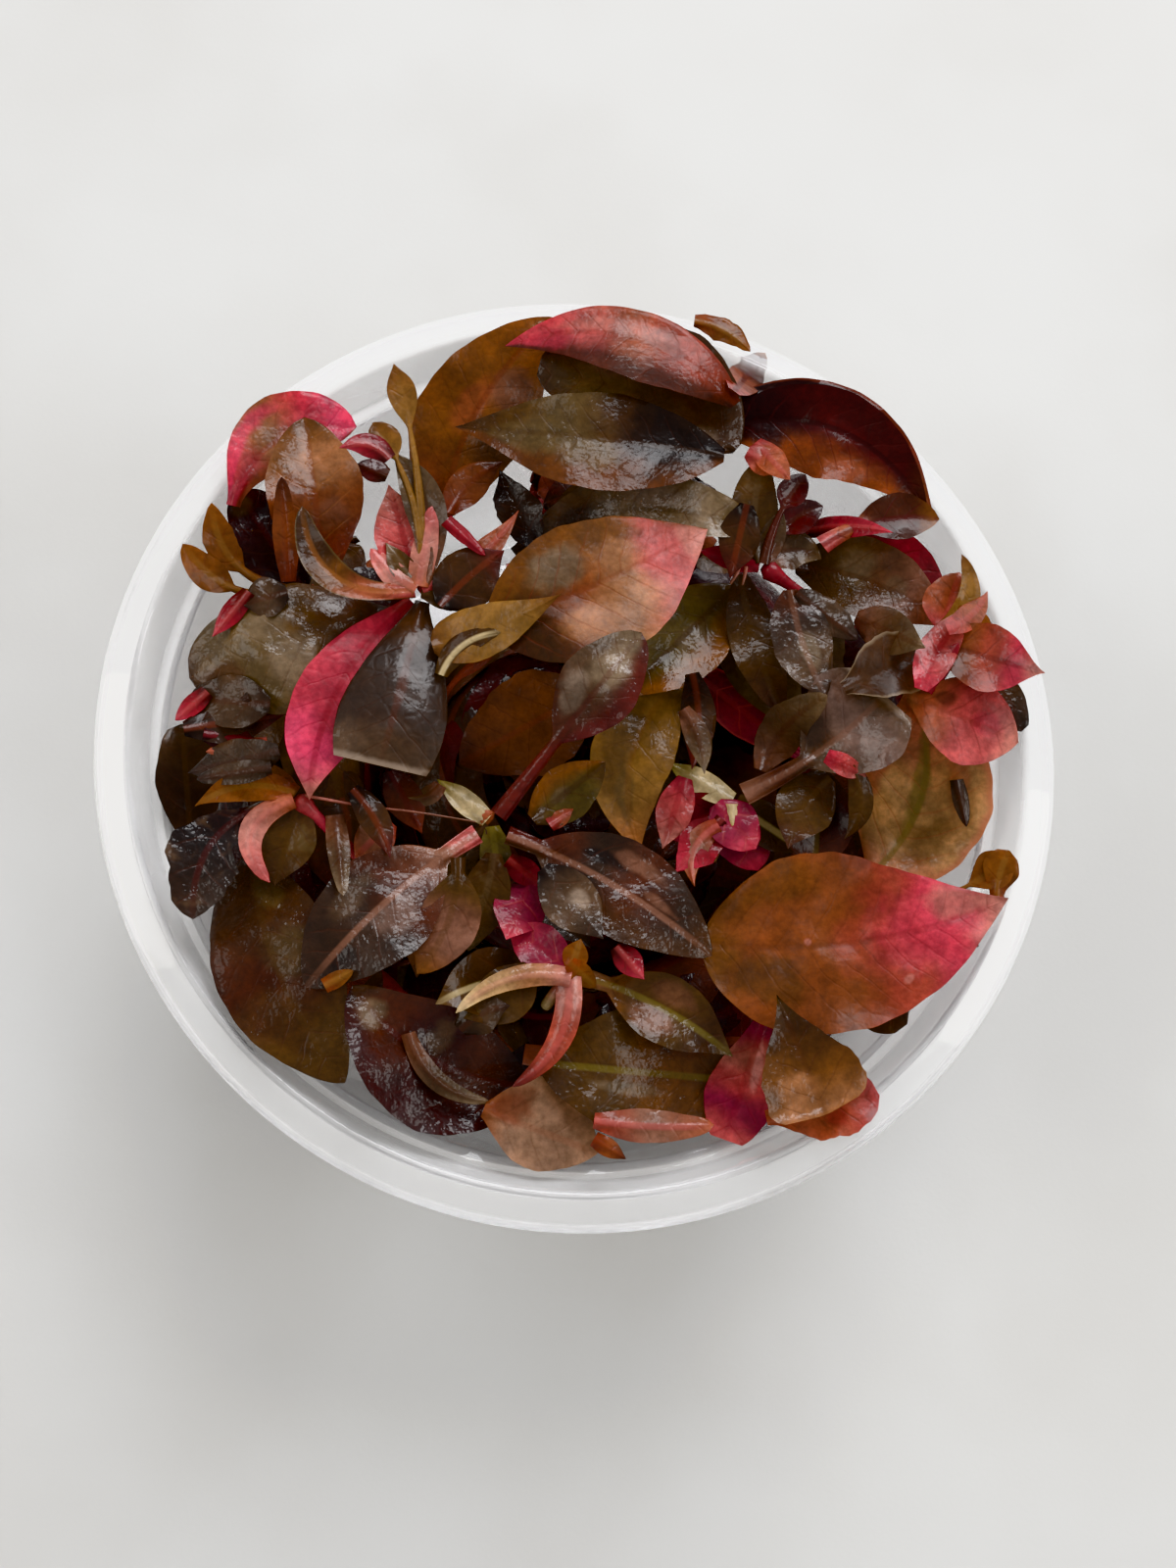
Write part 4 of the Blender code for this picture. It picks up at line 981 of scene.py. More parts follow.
# Lilac and grey-brown are painted sheen on a dark slate-brown leaf.
LILAC_CUT = F("slate, painted lilac sheen, cut", (C.SALMON_GREY, C.BROWN, C.GREY_BROWN, C.LILAC, C.GREY_BROWN), C.SALMON_GREY, 0.4,
              torn_end=True, wet=Wet.SOAKED, wrinkles=0.9, glow=0.1, veins=0.12, spots=(
    S(0.55, 0.5, 0.12, 0.4, C.SLATE, 0.8), S(0.7, -0.3, 0.12, 0.4, C.LILAC, 0.6)))
OLIVE_FRAGMENT = F("dark olive, torn", (C.OLIVE_BROWN, C.OLIVE_BROWN), C.OLIVE_BROWN, 0.2, torn_end=True, glow=0.1,
                   wet=Wet.DAMP, margin=C.TAUPE)
# Taupe and ash tones are painted sheen of the wet film.
SHINY_DARK = F("dark leaf, painted grey sheen", (C.CRIMSON_BROWN, C.SLATE, C.TAUPE, C.ASH, C.ASH), C.SLATE, 0.2,
               wet=Wet.SOAKED, wrinkles=1.5, glow=0.08, spots=(S(0.3, -0.3, 0.15, 0.5, C.ASH, 0.8),))
PINK_TIP_RIGHT = F("brick to pink tip", (C.CRIMSON_BROWN, C.BRICK_BROWN, C.BRICK, C.RASPBERRY, C.DUSTY_PINK), C.MAROON, 0.4,
                   glow=0.4, veins=0.3, vein_colour=C.MAROON)
SALMON_RIGHT = F("salmon with a brown spot", (C.SALMON_TAN, C.SALMON, C.ROSE, C.ROSE, C.DUSTY_PINK), C.RUST, 0.2,
                 glow=0.42, wrinkles=0.6, wet=Wet.DAMP, spots=(S(0.3, 0.35, 0.11, 0.3, C.BROWN, 0.7),
    S(0.7, 0.1, 0.15, 0.4, C.RASPBERRY, 0.6)))
PALE_RIGHT = F("pale salmon olive", (C.WARM_SALMON, C.PALE_TAN, C.PALE_TAN, C.WARM_SALMON, C.WARM_SALMON), C.YELLOW_OLIVE, 0.6,
               margin=C.WARM_SALMON, wrinkles=0.9, glow=0.45, vein_colour=C.SALMON, spots=(
    S(0.5, 0.05, 0.3, 0.14, C.YELLOW_OLIVE, 0.7), S(0.25, -0.4, 0.16, 0.3, C.OLIVE, 0.5),
    S(0.5, 0.75, 0.3, 0.22, C.SALMON, 0.7), S(0.6, -0.5, 0.2, 0.2, C.SALMON, 0.5)))
BROWN_STALKED = F("brown, amber tip", (C.ROSE, C.SALMON, C.BROWN, C.BROWN, C.AMBER), C.MAROON, 0.6,
                  veins=0.5, vein_colour=C.MAROON, glow=0.3)
TAN_BOTTOM = F("dull tan", (C.BRICK_BROWN, C.DULL_TAN, C.DULL_TAN, C.DULL_TAN), C.SALMON, 0.15, glow=0.42, wrinkles=0.4,
               wet=Wet.DAMP, veins=0.12, spots=(S(0.2, 0.3, 0.2, 0.6, C.RUST, 0.6),))
PINK_BOTTOM = F("rose, crimson base", (C.CRIMSON, C.MAGENTA, C.DUSTY_PINK, C.ROSE, C.MAGENTA, C.ROSE), C.CRIMSON, 0.25,
                glow=0.4, wet=Wet.DAMP, veins=0.25, vein_colour=C.CRIMSON, wrinkles=0.8, spots=(
    S(0.45, 0.3, 0.2, 0.2, C.PALE_PINK, 0.7),))
# Salmon-grey spots are painted sheen.
OLIVE_STALKED = F("olive, painted salmon sheen", (C.SALMON_TAN, C.OLIVE_AMBER, C.OLIVE, C.OLIVE, C.OLIVE_BROWN, C.GREY_OLIVE),
                  C.YELLOW_OLIVE, 0.5, wet=Wet.SOAKED, wrinkles=0.9, spots=(
    S(0.42, -0.5, 0.2, 0.5, C.SALMON_GREY, 0.7), S(0.5, 0.5, 0.2, 0.4, C.SALMON_GREY, 0.5)))
SALMON_CORNER = F("salmon orange", (C.SALMON, C.SALMON, C.ROSE), C.RUST, 0.25, glow=0.42, spots=(
    S(0.6, -0.3, 0.12, 0.5, C.CRIMSON, 0.5),))
OLIVE_CORNER = F("olive brown, salmon base", (C.SALMON_TAN, C.OLIVE_AMBER, C.OLIVE_BROWN, C.OLIVE), C.BROWN, 0.2,
                 wrinkles=0.9, wet=Wet.SOAKED, spots=(S(0.25, 0.3, 0.18, 0.5, C.SALMON_TAN, 0.7),))
# Salmon-grey spots along the ridges are painted wet highlights.
DARK_LOWER_RIGHT = F("dark, painted pink ridge highlights", (C.CRIMSON_BROWN, C.BROWN, C.SLATE, C.BROWN, C.SLATE, C.OLIVE_BROWN), C.SALMON_GREY, 0.6,
                     wet=Wet.SOAKED, wrinkles=1.5, glow=0.08, half=C.OLIVE_BROWN, half_side=-1.0,
                     spots=(S(0.42, 0.45, 0.12, 0.2, C.BLACK_BROWN, 0.8), S(0.55, 0.6, 0.14, 0.2, C.SALMON_GREY, 0.7),
                            S(0.7, 0.2, 0.1, 0.15, C.SALMON_GREY, 0.7)))
# Lilac and grey-brown spots are painted sheen.
GREY_LOWER_LEFT = F("wrinkled dark brown, painted grey sheen", (C.ROSE, C.SALMON_GREY, C.BROWN, C.SLATE, C.SLATE, C.SLATE), C.SALMON_GREY, 0.6,
                    wet=Wet.SOAKED, wrinkles=1.4, glow=0.08, spots=(
    S(0.82, 0.3, 0.1, 0.3, C.BLACK_BROWN, 0.7), S(0.5, 0.3, 0.13, 0.4, C.LILAC, 0.6),
    S(0.6, -0.5, 0.15, 0.3, C.GREY_BROWN, 0.7)))
# Grey-olive spots are painted sheen.
LOWER_LEFT = F("brown olive, painted grey sheen", (C.OLIVE_BROWN, C.OLIVE_BROWN, C.BROWN, C.OLIVE, C.OLIVE), C.OLIVE, 0.25,
               wet=Wet.SOAKED, wrinkles=1.1, spots=(
    S(0.14, 0.3, 0.1, 0.4, C.GREY_OLIVE, 0.7), S(0.42, 0.3, 0.12, 0.5, C.GREY_OLIVE, 0.6),
    S(0.7, -0.4, 0.16, 0.4, C.OLIVE_BROWN, 0.6)))
WALL_LEFT = F("dark olive", (C.OLIVE_BROWN, C.SLATE, C.GREY_BROWN), C.OLIVE, 0.3, glow=0.15)
PINK_STALK = F("pink stalk", (C.SALMON, C.DUSTY_PINK, C.ROSE), C.ROSE, 0.2, veins=0.0, glow=0.25, wrinkles=0.3)
BROWN_STALK = F("brown-pink stalk", (C.BRICK, C.SALMON_GREY, C.SALMON), C.ROSE, 0.4, veins=0.0, glow=0.2,
                wrinkles=0.6)
CRIMSON_STALK = F("crimson stalk", (C.CRIMSON, C.CRIMSON, C.CRIMSON), C.CRIMSON, 0.2, veins=0.0, glow=0.25)
PALE_STALK = F("pale stalk", (C.CREAM, C.CREAM, C.YELLOW_GREEN), C.CREAM, 0.2, veins=0.0, glow=0.25)
ROOT_SKIN = F("young root", (C.DUSTY_PINK, C.SALMON_GREY), C.ROSE, 0.0, veins=0.0, glow=0.3)
PINK_NODE = F("pink node", (C.ROSE, C.RASPBERRY, C.ROSE), C.ROSE, 0.2, veins=0.0, glow=0.3, wrinkles=0.4)
PALE_NODE = F("pale node", (C.CREAM, C.DUSTY_PINK, C.CREAM), C.CREAM, 0.2, veins=0.0, glow=0.3, wrinkles=0.4)
MAROON_BUD = F("maroon bud", (C.BROWN, C.MAROON, C.DARK_MAROON), C.BROWN, 0.5, wet=Wet.SOAKED, glow=0.1)
TORN_PURPLE = F("torn purple brown", (C.DARK_MAROON, C.BLACK_BROWN, C.SLATE), C.MAROON, 0.3, patch=C.GREY_BROWN,
                patches=0.4, wet=Wet.SOAKED, wrinkles=1.5, glow=0.06)
SALMON_SMALL = F("small salmon", (C.ROSE, C.SALMON, C.SALMON), C.ROSE, 0.4, glow=0.42, veins=0.3)
PINK_CLEAR = F("small pink, wet", (C.RASPBERRY, C.ROSE, C.DUSTY_PINK), C.CRIMSON, 0.4, glow=0.45, veins=0.3,
               wet=Wet.SOAKED, wrinkles=0.9)
TAN_SMALL = F("small tan, amber tip", (C.OLIVE_BROWN, C.OLIVE, C.SALMON_GREY, C.SALMON_GREY, C.AMBER), C.OLIVE, 0.3,
              wet=Wet.SOAKED, wrinkles=0.8)
# Grey-brown middle and taupe spot are painted sheen.
SLATE_SHEEN = F("slate, painted white sheen", (C.BROWN, C.SLATE, C.GREY_BROWN, C.SLATE), C.SALMON_GREY, 0.3, wrinkles=1.4,
                wet=Wet.SOAKED, glow=0.08, spots=(S(0.55, 0.2, 0.2, 0.4, C.TAUPE, 0.7),))
GREY_SMALL = F("small grey brown", (C.SALMON_GREY, C.GREY_BROWN, C.TAUPE), C.BROWN, 0.4, wrinkles=1.0, wet=Wet.SOAKED)
DARK_SMALL = F("small dark grey", (C.SLATE, C.GREY_BROWN, C.SLATE), C.BROWN, 0.4, wrinkles=1.0, wet=Wet.SOAKED)
OLIVE_SMALL = F("small olive", (C.YELLOW_OLIVE, C.OLIVE_GREEN, C.OLIVE), C.YELLOW_OLIVE, 0.7, wrinkles=0.5)
FOLD_STALK = F("pale pink stalk", (C.DUSTY_PINK, C.SALMON_TAN, C.PALE_TAN, C.CREAM), C.DUSTY_PINK, 0.3, veins=0.0,
               glow=0.25, wrinkles=0.5, wet=Wet.SOAKED)
CRIMSON_BROWN_STALK = F("crimson brown stalk", (C.DUSTY_PINK, C.BRICK, C.CRIMSON_BROWN), C.ROSE, 0.3, veins=0.0,
                        wet=Wet.SOAKED, wrinkles=0.8, glow=0.15)
OLIVE_FOLDED = F("olive, pale midrib", (C.OLIVE, C.OLIVE_BROWN, C.OLIVE), C.CREAM, 1.0, wrinkles=0.5, wet=Wet.SOAKED)
CURLED_SMALL = F("small curled brown", (C.ROSE, C.SALMON, C.OLIVE_AMBER, C.OLIVE_BROWN, C.OLIVE_BROWN), C.TAN, 0.4,
                 margin=C.GREY_OLIVE, wrinkles=0.7)
ROUND_MAGENTA = F("round magenta", (C.MAGENTA, C.MAGENTA, C.RASPBERRY), C.CRIMSON, 0.3, veins=0.4,
                  vein_colour=C.ROSE, glow=0.3, wrinkles=0.8)
CRIMSON_FOLDED = F("crimson, folded", (C.MAROON, C.CRIMSON, C.RASPBERRY), C.ROSE, 0.4, wet=Wet.SOAKED,
                   wrinkles=1.0, glow=0.3)
# Leaves deep in the heap: plant maroons and browns whose blackest tones are partly painted shade, on top of the shade
# that the heap casts.
HIDDEN_MAROON = F("hidden maroon", (C.BLACK_RED, C.DARK_MAROON, C.DARK_MAROON), C.MAROON, 0.4, wet=Wet.SOAKED,
                  glow=0.2, wrinkles=0.8)
HIDDEN_BROWN = F("hidden brown", (C.BLACK_BROWN, C.OLIVE_BROWN, C.MAROON), C.RUST, 0.4, glow=0.2, patch=C.SLATE)
HIDDEN_RED = F("hidden red", (C.DARK_MAROON, C.MAROON, C.CRIMSON_BROWN), C.CRIMSON, 0.4, glow=0.25)
HIDDEN_OLIVE = F("hidden olive", (C.OLIVE_BROWN, C.OLIVE, C.BROWN), C.OLIVE, 0.5, glow=0.25, wrinkles=0.7)
HIDDEN_RUST = F("hidden rust", (C.DARK_MAROON, C.BROWN, C.RUST), C.MAROON, 0.4, glow=0.3)
HIDDEN_LEAVES = (HIDDEN_MAROON, HIDDEN_BROWN, HIDDEN_MAROON, HIDDEN_OLIVE, HIDDEN_RED, HIDDEN_RUST, HIDDEN_BROWN)

LOOSE_LEAVES = (
    Blade("leaf_wall_left", (-45.5, -17.0), (-47.6, -1.0), 9.0, WALL_LEFT, roll=30.0, point=0.35, wide=0.6),
    Blade("leaf_lower_left", (-39.0, -16.5), (-27.3, -42.2), 14.5, LOWER_LEFT, bend=-2.0, roll=-12.0, cup=4.0,
          point=0.75, lumps=0.3),
    Blade("leaf_red_right", (29.0, 25.5), (44.5, 14.2), 8.0, RED_LEAF, bend=3.0),
    Blade("leaf_magenta_strip", (11.5, 8.0), (26.5, -4.0), 6.0, MAGENTA_LEAF, cup=6.0, wave=0.1),
    Blade("leaf_olive_right", (25.5, 21.0), (44.5, 13.5), 10.5, OLIVE_WET, bend=2.0, left=1.1, lumps=0.3),
    Blade("leaf_orange_back", (19.0, 43.5), (43.2, 28.8), 8.5, ORANGE_BACK, bend=5.5, left=0.9),
    Blade("leaf_maroon_arched", (16.5, 39.0), (42.4, 29.0), 11.0, MAROON_ARCHED, bend=6.0, roll=-14.0, right=1.45,
          point=0.85, lumps=0.3),
    Blade("leaf_amber_top", (-17.7, 26.0), (-4.0, 53.5), 14.5, AMBER_TOP, bend=3.0, point=0.75, lumps=0.25),
    Blade("leaf_pale_right", (33.5, -17.5), (39.5, 6.5), 17.5, PALE_RIGHT, bend=-4.0, cup=8.0, lumps=0.7,
          point=0.8, ragged=0.03, wave=0.6),
    Blade("leaf_salmon_right_edge", (39.0, 5.0), (52.3, -0.8), 11.5, SALMON_RIGHT, wide=0.55, point=0.75, lumps=0.3),
    Blade("leaf_olive_mid_right", (17.0, 17.0), (25.3, -0.5), 9.5, OLIVE_TAN, roll=8.0, lumps=0.3),
    Blade("leaf_shiny_right", (26.0, 18.0), (29.5, 3.5), 7.5, SHINY_DARK, roll=-10.0, lumps=0.45, ragged=0.08,
          point=0.8),
    Blade("leaf_ochre_centre", (11.0, 6.0), (6.0, -15.3), 10.0, OCHRE_LEAF, bend=-3.5, cup=10.0, point=0.95,
          lumps=0.25),
    Blade("leaf_green_centre", (17.8, 18.0), (4.3, 4.0), 11.0, GREEN_CENTRE, cup=10.0, point=0.8, lumps=0.3),
    Blade("leaf_olive_centre", (0.5, 4.5), (-15.2, -5.0), 12.5, OLIVE_CENTRE, point=0.7, wave=0.4, ragged=0.04),
    Blade("leaf_lilac_cut", (18.5, -8.0), (38.8, 8.0), 13.0, LILAC_CUT, bend=-1.5, stalk=0.32, cut=0.84, wide=0.5,
          left=1.15, stout=1.6, lumps=0.3),
    Blade("leaf_olive_fragment", (31.0, 5.5), (43.5, 11.8), 8.5, OLIVE_FRAGMENT, cut=0.84, point=0.45, wide=0.55,
          ragged=0.05),
    Blade("leaf_pink_tip_right", (43.0, 11.6), (56.2, 8.2), 9.0, PINK_TIP_RIGHT, point=1.3),
    Blade("leaf_brown_stalked", (29.0, 24.0), (44.0, 28.0), 6.0, BROWN_STALKED, bend=1.5, stalk=0.3, cup=22.0,
          point=0.7, wide=0.55, stout=1.5, left=1.2),
    Blade("leaf_grey_long", (-9.0, 21.5), (19.6, 26.0), 8.2, GREY_LONG, bend=4.0, roll=-10.0, point=0.4, wide=0.55,
          left=1.25, lumps=0.35),
    Blade("leaf_black_curled", (-6.5, 22.5), (-11.0, 32.5), 6.0, BLACK_CURLED, cup=28.0, lumps=0.5, ragged=0.08),
    Blade("leaf_glossy_top", (18.6, 36.5), (-6.5, 45.6), 13.5, GLOSSY_TOP, bend=-2.5, lumps=0.5, right=1.6,
          point=0.5),
    Blade("leaf_pink_over_rim", (18.6, 42.6), (-10.5, 49.3), 9.5, PINK_RIM_TOP, bend=-5.5, roll=-18.0, point=0.95,
          left=1.15),
    Blade("leaf_pointed_top", (17.0, 35.5), (-16.5, 38.0), 12.5, POINTED_TOP, bend=-0.5, cup=8.0, lumps=0.3,
          point=1.1, left=1.1),
    Blade("leaf_pink_rim_left", (-43.0, 26.5), (-28.6, 37.5), 9.5, PINK_RIM_LEFT, bend=4.0, wide=0.6, left=1.25,
          point=0.7, cup=14.0),
    Blade("leaf_salmon_left", (-31.5, 17.0), (-35.0, 38.5), 12.0, SALMON_LEFT, lumps=0.5, point=0.65, wide=0.55),
    Blade("leaf_grey_left", (-23.5, 13.5), (-47.0, 4.6), 16.0, GREY_LEFT, cup=-8.0, lumps=0.5, point=0.5, wide=0.55),
    Blade("leaf_pink_left", (-21.3, 15.0), (-32.5, -9.8), 9.6, PINK_LEFT, bend=-3.0, cup=10.0, wide=0.58,
          point=1.15),
    Blade("leaf_dark_cut", (-20.0, 15.0), (-26.2, -13.5), 13.0, DARK_CUT, cut=0.72, cup=-10.0, lumps=0.12,
          wide=0.55, ragged=0.01),
    Blade("leaf_olive_pink_centre", (-12.5, 11.8), (14.7, 25.6), 16.5, PINK_CENTRE, bend=-0.6, cup=8.0, right=1.15,
          left=1.05, lumps=0.3, point=0.95),
    Blade("leaf_glossy_small", (-7.0, -17.0), (0.2, -26.6), 7.5, BLACK_GLOSSY, cup=22.0, lumps=0.5),
    Blade("leaf_dark_curled", (-6.5, -42.5), (-26.8, -31.3), 14.0, DARK_CURLED, bend=2.8, cup=20.0, lumps=0.5,
          left=1.15, point=0.7),
    Blade("leaf_tan_bottom", (-11.8, -45.0), (1.0, -49.8), 8.5, TAN_BOTTOM, cup=6.0, wide=0.5, point=0.8, left=1.5),
    Blade("leaf_olive_bottom", (16.4, -41.6), (-5.8, -39.8), 15.5, OLIVE_RIBBED, cup=8.0, point=0.65, lumps=0.3,
          wide=0.4),
    Blade("leaf_pink_bottom", (21.0, -32.5), (15.2, -49.3), 8.0, PINK_BOTTOM, wide=0.65, cut=0.94, point=0.6),
    Blade("leaf_olive_folded", (-3.8, -30.2), (-17.4, -33.3), 6.5, OLIVE_FOLDED, bend=-1.2, cup=25.0, stalk=0.15,
          left=1.3, right=1.3, stout=1.3),
    Blade("leaf_olive_stalked", (0.2, -30.2), (16.5, -38.9), 8.2, OLIVE_STALKED, bend=1.0, stalk=0.12, cup=16.0,
          stout=1.2, lumps=0.3),
    Blade("leaf_largest", (13.2, -25.8), (49.9, -20.0), 22.0, OLIVE_PINK_BIG, bend=-2.6, wide=0.38, cup=6.0,
          point=1.0, right=0.95, lumps=0.45, wave=0.5),
    Blade("leaf_salmon_corner", (20.2, -45.8), (33.4, -43.2), 8.0, SALMON_CORNER, ragged=0.07, point=0.6, left=1.3,
          wide=0.6),
    Blade("leaf_olive_corner", (27.0, -45.4), (21.8, -31.8), 12.5, OLIVE_CORNER, wide=0.2, point=1.2, ragged=0.04),
    Blade("leaf_dark_lower_right", (-9.5, -13.5), (14.3, -27.4), 10.5, DARK_LOWER_RIGHT, bend=1.3, stalk=0.14,
          lumps=0.5, point=0.75, left=1.15, right=1.1, stout=1.3),
    Blade("leaf_grey_lower_left", (-13.0, -13.4), (-32.0, -31.6), 13.0, GREY_LOWER_LEFT, bend=-1.2, stalk=0.18,
          lumps=0.45, point=0.7, stout=1.4),
    Blade("leaf_grey_centre", (-10.6, -11.2), (6.4, 11.9), 10.0, GREY_CENTRE, stalk=0.4, cup=18.0, point=0.6,
          lumps=0.5, stout=1.3, wide=0.5),
)


@dataclass(frozen=True)
class Root:
    """A thin root or hair from a node.

    Attributes:
        points: its route on the plan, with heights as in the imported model.
        radius: its radius in millimetres.
    """

    points: tuple[tuple[float, float, float], ...]
    radius: float


@dataclass
class StemTip:
    """A stem tip: its stem and node, the small leaves that grow from it, and its roots.

    Attributes:
        name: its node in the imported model.
        node: where its top node is.
        height: that node's height before it is lifted.
        stem_end: where its stem ends.
        stem_drop: how far the stem goes down to there.
        arms: its small leaves.
        skin: the finish of its stem and node.
        roots: its roots.
        laid: its outermost small leaves, which lie over the heap.
    """

    name: str
    node: tuple[float, float]
    height: float
    stem_end: tuple[float, float]
    stem_drop: float
    arms: tuple[Blade, ...]
    skin: LeafFinish = PINK_NODE
    roots: tuple[Root, ...] = ()
    laid: tuple[Blade, ...] = ()

    def lift(self) -> float:
        """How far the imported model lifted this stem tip, by its leaves' own heights."""
        lines = Lines(self.name)
        lifts = []
        for arm in self.arms:
            if arm.name.startswith(("flat_stalk", "petiole")):
                continue
            for row in range(1, CAD_ARM_ROWS):
                u = np.array([[row / CAD_ARM_ROWS]])
                middle = np.array([[0.0]])
                half = arm.half_widths(u, middle)
                x, y = arm.plan(u, middle, half)[0, 0]
                crossings = lines.crossings(x, y)
                if crossings:
                    own = float(arm.own_heights(u, middle, half)[0, 0])
                    lifts.append(crossings[0] - CAD_HALF_THICKNESS - own)
        return float(np.median(lifts))

    def stem_route(self, lift: float, steps: int = 14) -> np.ndarray:
        """Points along the stem, from just above its node down to its end."""
        share = np.linspace(0.0, 1.0, steps + 1)[:, None]
        start, end = np.array(self.node), np.array(self.stem_end)
        plan = start + (end - start) * share
        height = self.height - CAD_SETTLED + lift - self.stem_drop * share ** 2
        return to_place(np.hstack([plan, height]))

    def build(self, finishes: Finishes, heap: Lines) -> bpy.types.Object:
        """Builds the stem tip as one piece.

        Args:
            finishes: where its materials come from.
            heap: the crossings of the whole heap.

        Returns:
            The piece.
        """
        bm = bmesh.new()
        lift = self.lift()
        kinds = [self.skin]
        for arm in self.arms:
            if arm.finish not in kinds:
                kinds.append(arm.finish)
            arm.add_to(bm, kinds.index(arm.finish), None, lift)
        for leaf in self.laid:
            if leaf.finish not in kinds:
                kinds.append(leaf.finish)
            leaf.add_to(bm, kinds.index(leaf.finish), leaf.draped_rows(heap), 0.0)
        route = self.stem_route(lift)
        share = np.linspace(0.0, 1.0, len(route))
        swell = 0.8 + 0.75 * np.exp(-((share - 0.06) / 0.13) ** 2)
        radii = 0.5 * CAD_STEM_WIDTH * swell
        radii[0] *= 0.45
        radii[-1] *= 0.8
        add_tube(bm, route, radii, 0)
        for root in self.roots:
            if ROOT_SKIN not in kinds:
                kinds.append(ROOT_SKIN)
            points = np.array(root.points, dtype=float)
            points[:, 2] += lift - CAD_SETTLED
            where = np.linspace(0.0, len(points) - 1.0, 8 * (len(points) - 1) + 1)
            path = to_place(catmull_rom(points, where))
            add_tube(bm, path, np.linspace(root.radius, root.radius * 0.5, len(path)), kinds.index(ROOT_SKIN), 7)
        materials = [finishes.material(kind) for kind in kinds]
        return finish_piece(f"{self.name}_growth", bm, materials, self.name)


